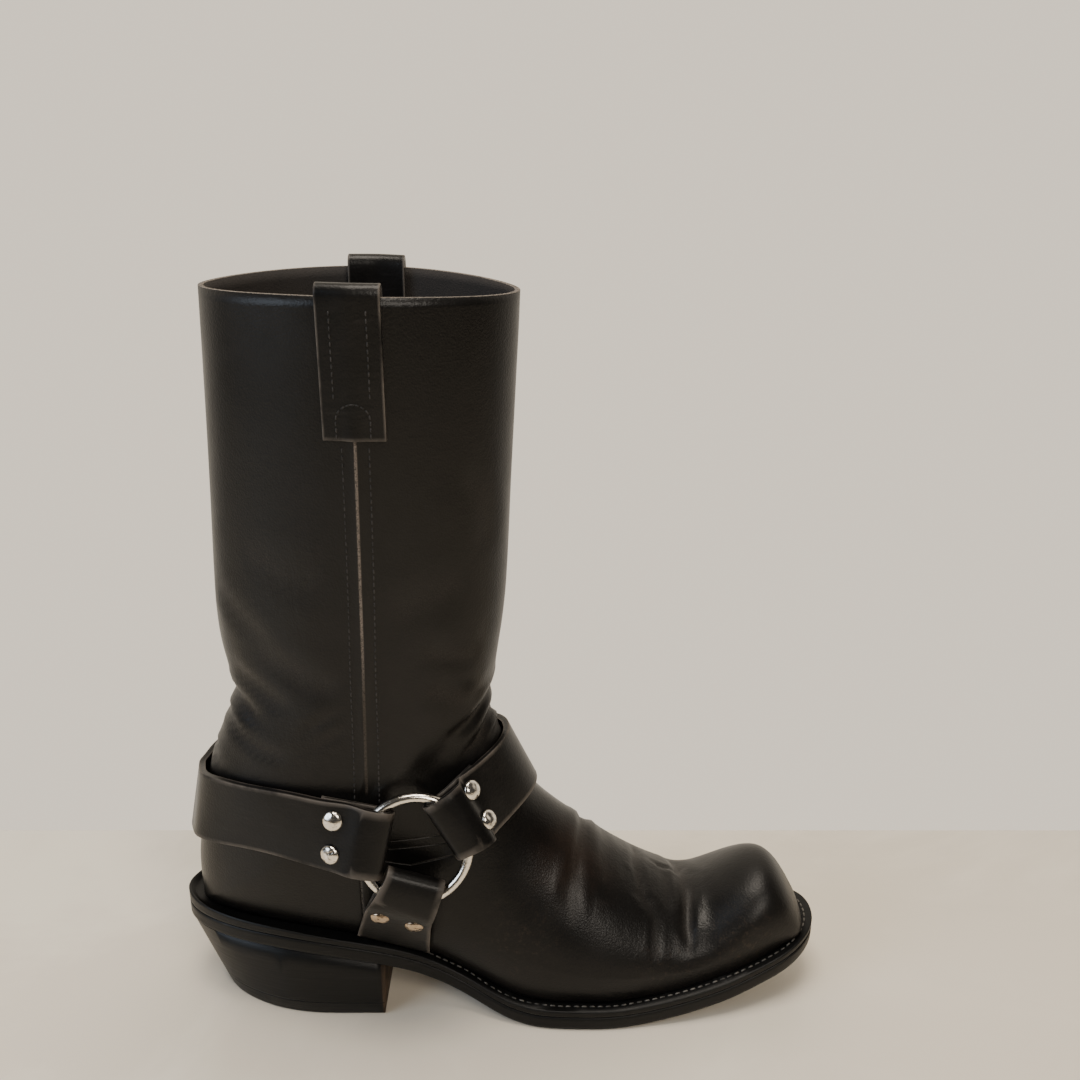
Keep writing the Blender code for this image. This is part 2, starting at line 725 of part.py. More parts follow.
def settle(tree, stations, fixed, free):
    """Move stations out until they clear the upper, then pull the strap taut between them."""
    count = len(stations)
    total = stations[-1].run
    lows = [0.0] * count
    highs = [0.0] * count

    def needed(item):
        """Rise of each edge over the upper at a place, with room for its bulge between them."""
        rises = [rise_along(tree, item.low.lerp(item.high, step / 6), item.out) for step in range(7)]
        bulge = max(rises[step] - rises[0] - (rises[6] - rises[0]) * step / 6 for step in range(7))
        clear = clear_of_return(item.run) + bulge + STRAP_SPARE
        if not free:
            clear = max(clear, clear_of_return(total - item.run) + bulge + STRAP_SPARE)
        return rises[0] + clear, rises[6] + clear

    last = count if free else count - fixed
    for index in range(fixed, last):
        lows[index], highs[index] = needed(stations[index])
    stop = min(last, count - 1)
    for _ in range(TAUT_PASSES):
        for index in range(fixed, stop):
            near = stations[index - 1:index + 2]
            for rises, edges in ((lows, [item.low for item in near]), (highs, [item.high for item in near])):
                before, here, after = [
                    edge + item.out * rise for edge, item, rise in zip(edges, near, rises[index - 1:index + 2])
                ]
                rises[index] += max((before.lerp(after, 0.5) - here).dot(near[1].out), 0.0)
    for _ in range(3):
        for index in range(fixed - 1, last - 1 if free else last):
            before = stations[index]
            after = stations[index + 1]
            between = Station(
                (before.low + after.low) / 2, (before.high + after.high) / 2,
                (before.out + after.out).normalized(), (before.run + after.run) / 2,
            )
            low, high = needed(between)
            for ends, target in ((lows, low), (highs, high)):
                short = target - (ends[index] + ends[index + 1]) / 2
                if short > 0.0:
                    if index >= fixed:
                        ends[index] += short
                    if index + 1 < last:
                        ends[index + 1] += short
    moved = []
    for item, low, high in zip(stations, lows, highs):
        moved.append(Station(item.low + item.out * low, item.high + item.out * high, item.out, item.run))
    return with_runs(moved)


def with_runs(stations):
    """The same stations with their distances along the strap measured again."""
    result = [stations[0]]
    for before, after in zip(stations, stations[1:]):
        step = (after.low + after.high - before.low - before.high).length / 2
        result.append(Station(after.low, after.high, after.out, result[-1].run + step))
    return result


def station_at(stations, run):
    """Edges and outward direction at a distance along the strap."""
    index = 0
    while index < len(stations) - 2 and stations[index + 1].run < run:
        index += 1
    before = stations[index]
    after = stations[index + 1]
    share = (run - before.run) / (after.run - before.run)
    out = before.out.lerp(after.out, share).normalized()
    return before.low.lerp(after.low, share), before.high.lerp(after.high, share), out


def loop_profile(loop):
    """Folded end of a strap, as inner and outer points of run and height, from its free end."""
    room = wire_room()
    fold = loop_fold(loop)
    points = []
    for run in (RETURN_LENGTH, RING_DIAMETER / 2):
        points.append(((run, -room), (run, -room - STRAP_RETURN)))
    for degrees in (-90, -55, -20, 20, 55, 90):
        angle = math.radians(degrees)
        outer = room + STRAP_RETURN + (STRAP_THICKNESS - STRAP_RETURN) * (degrees + 90) / 180
        points.append((
            (fold - room * math.cos(angle), room * math.sin(angle)),
            (fold - outer * math.cos(angle), outer * math.sin(angle)),
        ))
    crest = RING_DIAMETER / 2 + LOOP_CREST
    points.append(((crest, room), (crest, room + STRAP_THICKNESS)))
    return points


def flat_run():
    """Distance from the ring's centre past which a strap lies flat."""
    return RING_DIAMETER / 2 + LOOP_CREST + LOOP_SLOPE


def flat_level():
    """Height of a strap's inner face past its loop, from the plane of the ring."""
    return GAP - wire_room()


def ribbon(name, rows, material):
    """Closed band whose rows each hold pairs of an inner and an outer point across it."""
    work = bmesh.new()
    inner = [[work.verts.new(pair[0]) for pair in row] for row in rows]
    outer = [[work.verts.new(pair[1]) for pair in row] for row in rows]
    last = len(rows[0]) - 1
    for i in range(len(rows) - 1):
        for j in range(last):
            work.faces.new((inner[i][j], inner[i][j + 1], inner[i + 1][j + 1], inner[i + 1][j]))
            work.faces.new((outer[i][j], outer[i][j + 1], outer[i + 1][j + 1], outer[i + 1][j]))
        for j in (0, last):
            work.faces.new((inner[i][j], outer[i][j], outer[i + 1][j], inner[i + 1][j]))
    for i in (0, len(rows) - 1):
        for j in range(last):
            work.faces.new((inner[i][j], inner[i][j + 1], outer[i][j + 1], outer[i][j]))
    bmesh.ops.triangulate(work, faces=work.faces)
    return add_object(name, finish_mesh(name, work, 40), material)


def strap_rows(stations, loop, both_ends):
    """Rows of a strap that loops a ring at its first end, and at its last if it has two."""
    total = stations[-1].run
    level = flat_level()

    def row(inner, outer, flipped):
        pairs = []
        for share in (0.0, 0.5, 1.0):
            points = []
            for run, height in (inner, outer):
                low, high, out = station_at(stations, total - run if flipped else run)
                points.append(low.lerp(high, share) + out * height)
            pairs.append(tuple(points))
        return pairs

    def flat_row(run):
        return row((run, level), (run, level + STRAP_THICKNESS), False)

    profile = loop_profile(loop)
    rows = [row(inner, outer, False) for inner, outer in profile]
    stop = total - flat_run() + GAP if both_ends else total + GAP
    rows += [flat_row(item.run) for item in stations if flat_run() - GAP < item.run < stop]
    if both_ends:
        rows += [row(inner, outer, True) for inner, outer in reversed(profile)]
    return rows


def heel_turns():
    """Middles and outward directions of the strap round the heel, lateral side first."""
    base = seat_height(along(ANKLE[0].back))
    turns = []
    for side, rows in ((-1, HEEL_TURN), (1, HEEL_TURN[-2::-1])):
        for row in rows:
            place = Vector((along(row.along), side * row.half * BALL_WIDTH, base + row.up * INSTEP_HEIGHT))
            angle = math.radians(row.angle)
            turns.append((place, Vector((-math.cos(angle), side * math.sin(angle), 0.0))))
    return turns


def instep_turns():
    """Middles and outward directions of the strap over the instep, lateral side first."""
    base = seat_height(along(RING_ALONG))
    turns = []
    for side, rows in ((-1, INSTEP_TURN), (1, INSTEP_TURN[-2::-1])):
        for row in rows:
            place = Vector((along(row.along), side * row.half * BALL_WIDTH, base + row.up * INSTEP_HEIGHT))
            angle = math.radians(row.angle)
            turns.append((place, Vector((math.sin(angle), side * math.cos(angle), row.lean)).normalized()))
    return turns


def ring_to_ring(tree, name, loop, turns, seats, material):
    """Strap that joins the two rings round the heel or over the instep."""
    start = straight_part(seats[0], loop)
    finish = straight_part(seats[1], loop)
    stations = settle(tree, follow(start, turns, finish, loop), len(start), False)
    ribbon(name, strap_rows(stations, loop, True), material)
    return stations


def base_strap(tree, name, seat, material):
    """Strap from a ring down to the welt, its lower end cut along the welt."""
    stations = straight_part(seat, BASE_LOOP)
    start = stations[-1]
    front = along(BASE_FOOT_FRONT)
    back = along(BASE_FOOT_BACK)
    slope = (seat_height(front) - seat_height(back)) / (front - back)
    crown = 0.0
    for step in range(1, 8):
        x = back + (front - back) * step / 8
        crown = max(crown, seat_height(x) - seat_height(back) - slope * (x - back))
    feet = []
    for x in (front, back):
        edge = sole_sides(x, BASE_FOOT_INSET)[0 if seat.side < 0 else 1]
        feet.append(Vector((x, edge, seat_height(x) + crown + 2 * GAP)))
    level = Vector((0.0, seat.side, 0.0))
    steps = 6
    for step in range(1, steps + 1):
        share = step / steps
        out = seat.out.lerp(level, min(2 * share, 1.0)).normalized()
        stations.append(Station(start.low.lerp(feet[0], share), start.high.lerp(feet[1], share), out, 0.0))
    stations = settle(tree, with_runs(stations), 3, True)
    ribbon(name, strap_rows(stations, BASE_LOOP, False), material)
    return stations


def make_ring(name, seat, material):
    bpy.ops.mesh.primitive_torus_add(
        major_radius=RING_DIAMETER / 2, minor_radius=RING_WIRE / 2, major_segments=32, minor_segments=8
    )
    ring = bpy.context.active_object
    ring.name = name
    ring.data.name = name
    for collection in list(ring.users_collection):
        collection.objects.unlink(ring)
    bpy.data.collections[COLLECTION].objects.link(ring)
    ring.location = seat.centre
    ring.rotation_euler = seat.out.to_track_quat("Z", "Y").to_euler()
    ring.data.shade_smooth()
    ring.data.materials.append(material)


def make_rivet(name, place, out, material):
    """Domed rivet head: half a profile turned round its axis."""
    work = bmesh.new()
    steps = 4
    points = []
    for step in range(steps + 1):
        angle = math.pi / 2 * step / steps
        points.append(work.verts.new((RIVET_DIAMETER / 2 * math.sin(angle), 0.0, RIVET_DOME * math.cos(angle))))
    points.append(work.verts.new((0.0, 0.0, 0.0)))
    for a, b in zip(points, points[1:]):
        work.edges.new((a, b))
    mesh = bpy.data.meshes.new(name)
    work.to_mesh(mesh)
    work.free()
    rivet = add_object(name, mesh, material)
    turn = rivet.modifiers.new("Turn", "SCREW")
    turn.axis = "Z"
    turn.steps = 14
    turn.render_steps = 14
    turn.use_merge_vertices = True
    turn.merge_threshold = 0.00001
    rivet.location = place
    rivet.rotation_euler = out.to_track_quat("Z", "Y").to_euler()


def rivet_pair(name, strap, stations, flipped, material):
    """Two rivets side by side across a strap, just past its loop."""
    mesh = bpy.data.objects[strap].data
    tree = BVHTree.FromPolygons([v.co for v in mesh.vertices], [p.vertices for p in mesh.polygons])
    run = stations[-1].run - RIVET_SETBACK if flipped else RIVET_SETBACK
    low, high, out = station_at(stations, run)
    across = (high - low).normalized()
    level = flat_level() + STRAP_THICKNESS
    radius = RIVET_DIAMETER / 2
    for number, sign in ((1, 1), (2, -1)):
        place = low.lerp(high, 0.5) + across * sign * RIVET_SPACING / 2 + out * level
        ahead = across.cross(out).normalized()
        rim = []
        for step in range(12):
            angle = 2 * math.pi * step / 12
            spot = place + (across * math.cos(angle) + ahead * math.sin(angle)) * radius
            rim.append(spot + out * rise_along(tree, spot, out))
        face = (rim[3] - rim[9]).cross(rim[0] - rim[6]).normalized()
        if face.dot(out) < 0:
            face.negate()
        lift = max((spot - place).dot(face) for spot in rim + [place + out * rise_along(tree, place, out)])
        make_rivet(f"{name}_{number}", place + face * (lift + GAP), face, material)


def pull_strap(tree, name, side, material):
    """Doubled strip hung over the rim, sewn to both faces of the shaft."""
    columns = [PULL_CENTRE + PULL_WIDTH * (step / 6 - 0.5) for step in range(7)]
    level = Vector((0.0, side, 0.0))
    rows = []

    def outer_face(x, z):
        far = Vector((x, side * SHAFT_WIDTH, z))
        hit = tree.ray_cast(far, -level, 2 * SHAFT_WIDTH)[0]
        return hit.y * side

    rims = [rim_height(x) for x in columns]
    edge = 0.0006
    for step in range(5):
        drop = PULL_OUTSIDE * (1 - step / 4)
        row = []
        for x, rim in zip(columns, rims):
            z = rim - drop - edge
            y = outer_face(x, z) + 2 * GAP
            row.append((Vector((x, side * y, z)), Vector((x, side * (y + PULL_THICKNESS), z))))
        rows.append(row)
    room = LEATHER / 2 + 2 * GAP
    for degrees in (10, 50, 90, 130, 170):
        angle = math.radians(degrees)
        row = []
        for x, rim in zip(columns, rims):
            middle = outer_face(x, rim - edge) - LEATHER / 2
            reach = room + PULL_THICKNESS
            top = rim + PULL_STAND
            row.append((
                Vector((x, side * (middle + room * math.cos(angle)), top + room * math.sin(angle))),
                Vector((x, side * (middle + reach * math.cos(angle)), top + reach * math.sin(angle))),
            ))
        rows.append(row)
    for step in range(4):
        drop = PULL_INSIDE * step / 3
        row = []
        for x, rim in zip(columns, rims):
            z = rim - drop - edge
            y = outer_face(x, z) - LEATHER - 3 * GAP
            row.append((Vector((x, side * y, z)), Vector((x, side * (y - PULL_THICKNESS), z))))
        rows.append(row)
    ribbon(name, rows, material)


def rim_height(x):
    """Height of the rim's edge over a place between its back and front."""
    share = (x - SHAFT_CENTRE) / SHAFT_DEPTH + 0.5
    return SHAFT_HEIGHT - RIM_DIP * share + RIM_LIFT * 4 * share * (1 - share)


def make_material(name, colour, roughness, metallic):
    material = bpy.data.materials.new(name)
    material.use_nodes = True
    shader = material.node_tree.nodes["Principled BSDF"]
    shader.inputs["Base Color"].default_value = colour
    shader.inputs["Roughness"].default_value = roughness
    shader.inputs["Metallic"].default_value = metallic
    material.diffuse_color = colour
    return material


COLLECTION = "harness_boot"


def main():
    for item in list(bpy.data.objects):
        bpy.data.objects.remove(item)
    bpy.context.scene.collection.children.link(bpy.data.collections.new(COLLECTION))

    leather = make_material("upper_leather", BLACK_LEATHER, 0.45, 0.0)
    strap_leather = make_material("strap_leather", BLACK_STRAP, 0.5, 0.0)
    rubber = make_material("sole_rubber", BLACK_SOLE, 0.6, 0.0)
    stack = make_material("heel_stack", BLACK_SOLE, 0.5, 0.0)
    tan = make_material("insole_leather", TAN_LEATHER, 0.7, 0.0)
    nickel = make_material("nickel", NICKEL, 0.2, 1.0)

    rings = upper_rings()
    tree = surface_tree(rings)
    make_upper(rings, leather)
    make_insole(tan)
    make_welt(rubber)
    make_outsole(rubber)
    make_heel(stack)

    seats = (ring_seat(tree, -1), ring_seat(tree, 1))
    heel_run = ring_to_ring(tree, "heel_strap", HEEL_LOOP, heel_turns(), seats, strap_leather)
    instep_run = ring_to_ring(tree, "instep_strap", INSTEP_LOOP, instep_turns(), seats, strap_leather)
    for label, seat, flipped in (("lateral", seats[0], False), ("medial", seats[1], True)):
        base_run = base_strap(tree, f"{label}_base_strap", seat, strap_leather)
        make_ring(f"{label}_ring", seat, nickel)
        rivet_pair(f"{label}_heel_rivet", "heel_strap", heel_run, flipped, nickel)
        rivet_pair(f"{label}_instep_rivet", "instep_strap", instep_run, flipped, nickel)
        rivet_pair(f"{label}_base_rivet", f"{label}_base_strap", base_run, False, nickel)
        pull_strap(tree, f"{label}_pull_strap", seat.side, strap_leather)


if __name__ == "__main__":
    main()
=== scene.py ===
"""Looks of the harness boot: leather, sole, straps, nickel, stitches and a plain studio."""

import math
import random

import bmesh
import bpy
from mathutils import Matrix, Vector
from mathutils.bvhtree import BVHTree
from mathutils.kdtree import KDTree


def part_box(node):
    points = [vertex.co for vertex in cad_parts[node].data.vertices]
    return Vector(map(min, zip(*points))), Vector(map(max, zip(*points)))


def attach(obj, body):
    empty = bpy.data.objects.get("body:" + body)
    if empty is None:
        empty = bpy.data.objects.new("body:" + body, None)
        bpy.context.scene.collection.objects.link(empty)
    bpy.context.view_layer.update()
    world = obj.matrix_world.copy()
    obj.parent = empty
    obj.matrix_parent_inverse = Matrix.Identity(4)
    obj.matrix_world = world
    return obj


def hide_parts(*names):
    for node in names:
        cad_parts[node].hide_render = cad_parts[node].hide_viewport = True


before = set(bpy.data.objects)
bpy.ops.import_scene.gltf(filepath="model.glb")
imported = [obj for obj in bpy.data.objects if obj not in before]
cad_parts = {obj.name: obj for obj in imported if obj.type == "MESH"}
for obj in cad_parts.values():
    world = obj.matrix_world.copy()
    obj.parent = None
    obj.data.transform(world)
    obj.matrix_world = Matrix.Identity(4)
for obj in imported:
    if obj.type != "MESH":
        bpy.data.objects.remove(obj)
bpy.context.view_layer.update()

bl_info = {
    "name": "Harness boot",
    "version": (1, 0, 0),
    "blender": (4, 5, 0),
    "location": "3D View > Sidebar > Harness boot",
    "description": "Builds the looks of a black leather harness boot round its CAD solids",
    "category": "Object",
}

LENGTH = 0.305
SETBACK = 0.061
HEEL_LIFT = 0.0285
WALL = 0.0022
MILLIMETRE = 0.001

# Sole under the upper: thickness with the welt, end of the flat tread, toe spring, rounds of the ends
SOLE_THICKNESS = 0.0105
TREAD_END = 0.675
TOE_SPRING = 0.0215
SPRING_POWER = 1.5
HEEL_ROUND = 0.071
HEEL_POWER = 1.9
TOE_ROUND = 0.023
TOE_POWER = 2.4
HEEL_STEPS = 40
SIDE_STEPS = 120
TOE_STEPS = 30

# Wire rings and domed rivets: the dome's base lies a little way behind the middle of its solid
RING_RADIUS = 0.0237
WIRE_RADIUS = 0.00225
RIVET_RADIUS = 0.0046
RIVET_HEIGHT = 0.0024
RIVET_SINK = 0.0012
RIVET_DENTS = 11
DENT_FLOOR = 0.00002
DENT_RISE = 0.0008

# Stitches of the welt: where they start, how far they lie in from the edge and over the welt
WELT_STITCH_START = 0.052
WELT_STITCH_INSET = 0.0040
WELT_STITCH_LIFT = 0.0002
WELT_STITCH_SHARE = 0.72
WELT_THREAD = 0.00038

# Stitches of the upper: thread, the two rows beside each side seam, the rows and arch of a pull strap,
# each with its pitch and the length of a stitch
THREAD = 0.00030
THREAD_LIFT = 0.00010
SEAM_PITCH = 0.0030
SEAM_STITCH = 0.0021
PULL_PITCH = 0.0028
PULL_STITCH = 0.0020
ARCH_PITCH = 0.0026
ARCH_STITCH = 0.0019
SEAM_ROW = 0.0053
SEAM_ROW_TOP = 0.281
SEAM_ROW_STEP = 0.0017
SEAM_ROW_POINTS = 100
BESIDE_SHAFT = 0.09
BESIDE_PULL = 0.055
PULL_CENTRE = 0.0388
PULL_ROW = 0.0078
PULL_ROW_TOP = 0.3345
PULL_ROW_LENGTH = 0.0345
PULL_ROW_POINTS = 40
ARCH_HALF = 0.0076
ARCH_FOOT = 0.2845
ARCH_SPRING = 0.2925
ARCH_RISE = 0.0062
ARCH_POINTS = 24

# Creases: how far one reaches and where its side ridge lies, in half widths of the trough, the
# ridge's share of the depth, the share of its length that fades out, and the depth that marks a fold
CREASE_REACH = 4.5
RIDGE_PLACE = 2.1
RIDGE_WIDTH = 1.1
RIDGE_SHARE = 0.42
CREASE_FADE = 0.18
FOLD_DEPTH = 0.0013

# Outer face of the upper: where the zones at the rim and the sole begin, how far behind it the inner
# face may lie there and elsewhere, in walls, the start under the skin, and the sharpest bend in degrees
RIM_START = 0.332
SOLE_ZONE = 0.004
REACH_AT_EDGE = 1.5
REACH = 2.6
UNDER_SKIN = 0.0003
SKIN_BEND = 75

# Straps: the rounding of their edges, how far the worn look reaches in, and a hard edge in degrees
STRAP_ROUNDING = 0.0005
WORN_REACH = 0.0009
HARD_EDGE = 24

# Light line on the side seam: its foot, its height, its slope and offset in x, and its bow
SEAM_FOOT = 0.118
SEAM_HEIGHT = 0.172
SEAM_SLOPE = 0.0279
SEAM_OFFSET = 0.03071
SEAM_BOW = 0.0012

# Edges of the counter and of the panel that shows inside the ring
COUNTER_EDGE = 0.0290
PANEL_LIP = (0.0940, 0.0900)
PANEL_LOW = 0.0836
PANEL_MIDDLE = 0.052

# Sole outline: place along the length, half widths to the lateral and medial side in metres
OUTLINE = (
    (0.000, 0.0360, 0.0360), (0.233, 0.0360, 0.0360), (0.318, 0.0351, 0.0348), (0.387, 0.0323, 0.0307),
    (0.436, 0.0326, 0.0315), (0.480, 0.0375, 0.0347), (0.512, 0.0413, 0.0384), (0.549, 0.0440, 0.0428),
    (0.598, 0.0459, 0.0485), (0.656, 0.0461, 0.0530), (0.718, 0.0438, 0.0546), (0.777, 0.0410, 0.0524),
    (0.839, 0.0370, 0.0470), (0.895, 0.0315, 0.0393), (0.941, 0.0255, 0.0312), (1.000, 0.0187, 0.0243),
)
# Underside of the sole: place along the length, height as a share of the heel's
ARCH = (
    (0.000, 1.28), (0.075, 1.31), (0.131, 1.31), (0.200, 1.25), (0.256, 1.14), (0.316, 1.00),
    (0.387, 0.69), (0.436, 0.41), (0.480, 0.19), (0.512, 0.07), (0.549, 0.00),
)


# Shapes of the sole

def curve_through(knots, values):
    """A smooth function through values at rising knots that never passes beyond them."""
    spans = [b - a for a, b in zip(knots, knots[1:])]
    slopes = [(b - a) / span for a, b, span in zip(values, values[1:], spans)]
    tangents = [slopes[0]]
    for before, after in zip(slopes, slopes[1:]):
        tangents.append(0.0 if before * after <= 0 else 2 * before * after / (before + after))
    tangents.append(slopes[-1])

    def value(place):
        place = min(max(place, knots[0]), knots[-1])
        index = 0
        while index < len(spans) - 1 and place > knots[index + 1]:
            index += 1
        t = (place - knots[index]) / spans[index]
        return (
            values[index] * (1 + 2 * t) * (1 - t) ** 2
            + tangents[index] * spans[index] * t * (1 - t) ** 2
            + values[index + 1] * t * t * (3 - 2 * t)
            + tangents[index + 1] * spans[index] * t * t * (t - 1)
        )

    return value


def along(share):
    """Place in x at a share of the sole's length, from the back of the heel."""
    return share * LENGTH - SETBACK


PLACES = [along(row[0]) for row in OUTLINE]
lateral_edge = curve_through(PLACES, [row[1] for row in OUTLINE])
medial_edge = curve_through(PLACES, [row[2] for row in OUTLINE])
arch_height = curve_through([along(row[0]) for row in ARCH], [row[1] * HEEL_LIFT for row in ARCH])


def seat_height(x):
    """Top of the welt."""
    start = along(TREAD_END)
    if x <= start:
        return arch_height(x) + SOLE_THICKNESS
    return TOE_SPRING * ((x - start) / (along(1.0) - start)) ** SPRING_POWER + SOLE_THICKNESS


def rounded(share, power):
    """Width that is left at a share of the way round an end: 1 at its start, 0 at its tip."""
    share = min(max(share, 0.0), 1.0)
    return (1.0 - share**power) ** (1.0 / power)


def sole_path(inset, lift, step):
    """Closed path round the sole at even steps, drawn in from its edge and lifted over the welt."""
    back = along(0.0) + inset
    toe = along(1.0) - inset
    heel_round = HEEL_ROUND - inset
    toe_round = TOE_ROUND - inset
    straight = toe - toe_round - back - heel_round
    quarter = math.pi / 2
    xs = [back + heel_round * (1 - math.cos(quarter * i / HEEL_STEPS)) for i in range(HEEL_STEPS)]
    xs += [back + heel_round + straight * i / SIDE_STEPS for i in range(SIDE_STEPS)]
    xs += [toe - toe_round + toe_round * math.sin(quarter * i / TOE_STEPS) for i in range(TOE_STEPS + 1)]
    sides = [[], []]
    for x in xs:
        middle = (medial_edge(x) - lateral_edge(x)) / 2
        half = (medial_edge(x) + lateral_edge(x)) / 2 - inset
        half *= rounded((back + heel_round - x) / heel_round, HEEL_POWER)
        half *= rounded((x - toe + toe_round) / toe_round, TOE_POWER)
        sides[0].append(Vector((x, middle - half, seat_height(x) + lift)))
        sides[1].append(Vector((x, middle + half, seat_height(x) + lift)))
    return even(sides[0] + sides[1][-2:0:-1] + sides[0][:1], step)


def even(points, step):
    """Points at even steps along a polyline."""
    lengths = [0.0]
    for a, b in zip(points, points[1:]):
        lengths.append(lengths[-1] + (b - a).length)
    count = max(int(round(lengths[-1] / step)), 1)
    result = []
    index = 0
    for i in range(count + 1):
        target = lengths[-1] * i / count
        while index < len(points) - 2 and lengths[index + 1] < target:
            index += 1
        span = lengths[index + 1] - lengths[index]
        share = 0.0 if span == 0.0 else min((target - lengths[index]) / span, 1.0)
        result.append(points[index].lerp(points[index + 1], share))
    return result


# Materials

class Value:
    """A socket whose arithmetic adds Math nodes."""

    def __init__(self, shader, socket):
        self.shader = shader
        self.socket = socket

    def math(self, operation, *others):
        return self.shader.node("ShaderNodeMath", {"operation": operation}, (self,) + others)

    def __add__(self, other):
        return self.math("ADD", other)

    __radd__ = __add__

    def __mul__(self, other):
        return self.math("MULTIPLY", other)

    __rmul__ = __mul__

    def __sub__(self, other):
        return self.math("SUBTRACT", other)

    def __rsub__(self, other):
        return self.shader.node("ShaderNodeMath", {"operation": "SUBTRACT"}, (other, self))

    def between(self, low, high):
        """0 below low, 1 above high, smooth between."""
        inputs = {"Value": self, "From Min": low, "From Max": high}
        return self.shader.node("ShaderNodeMapRange", {"interpolation_type": "SMOOTHSTEP"}, inputs)


class Finish:
    """A material built round one Principled shader."""

    def __init__(self, name):
        self.material = bpy.data.materials.new(name)
        self.material.use_nodes = True
        self.tree = self.material.node_tree
        self.bsdf = self.tree.nodes["Principled BSDF"]
        coords = self.tree.nodes.new("ShaderNodeTexCoord")
        self.place = Value(self, coords.outputs["Object"])
        parts = self.tree.nodes.new("ShaderNodeSeparateXYZ")
        self.tree.links.new(coords.outputs["Object"], parts.inputs[0])
        self.x, self.y, self.z = [Value(self, parts.outputs[i]) for i in range(3)]

    def put(self, socket, value):
        if isinstance(value, Value):
            self.tree.links.new(value.socket, socket)
        else:
            socket.default_value = value

    def node(self, kind, settings, inputs, output=0):
        """Add a node with its settings and the values or links of its sockets."""
        node = self.tree.nodes.new(kind)
        for key, value in settings.items():
            setattr(node, key, value)
        pairs = inputs.items() if isinstance(inputs, dict) else enumerate(inputs)
        for key, value in pairs:
            self.put(node.inputs[key], value)
        return Value(self, node.outputs[output])

    def noise(self, scale, detail=3.0, rough=0.55, stretch=(1, 1, 1), turn=(0, 0, 0), distortion=0.0):
        """Clouds, drawn out where stretch is under 1."""
        vector = self.place
        if stretch != (1, 1, 1):
            inputs = {"Vector": self.place, "Rotation": turn, "Scale": stretch}
            vector = self.node("ShaderNodeMapping", {}, inputs)
        inputs = {
            "Vector": vector, "Scale": scale, "Detail": detail,
            "Roughness": rough, "Distortion": distortion,
        }
        return self.node("ShaderNodeTexNoise", {}, inputs)

    def cells(self, scale):
        """Distance to the nearest of many scattered points, as in a leather's grain."""
        inputs = {"Vector": self.place, "Scale": scale}
        return self.node("ShaderNodeTexVoronoi", {"feature": "F1"}, inputs)

    def attribute(self, name):
        """A value stored on the mesh's points."""
        return self.node("ShaderNodeAttribute", {"attribute_name": name}, {}, "Fac")

    def mix(self, factor, a, b):
        """Colour a where the factor is 0 and b where it is 1."""
        inputs = {0: factor, 6: a, 7: b}
        return self.node("ShaderNodeMix", {"data_type": "RGBA"}, inputs, 2)

    def near(self, point, radius):
        """1 at a place on the boot, falling to 0 at the radius."""
        gap = self.node("ShaderNodeVectorMath", {"operation": "DISTANCE"}, (self.place, point), "Value")
        return 1 - gap.between(0.0, radius)

    def bump(self, height, distance, strength=1.0):
        inputs = {"Height": height, "Distance": distance, "Strength": strength}
        return self.node("ShaderNodeBump", {}, inputs)

    def finish(self, **sockets):
        """Fill the Principled shader's sockets and hand over the material."""
        for key, value in sockets.items():
            self.put(self.bsdf.inputs[key.replace("_", " ")], value)
        return self.material


def shade(red, green, blue):
    return (red, green, blue, 1.0)


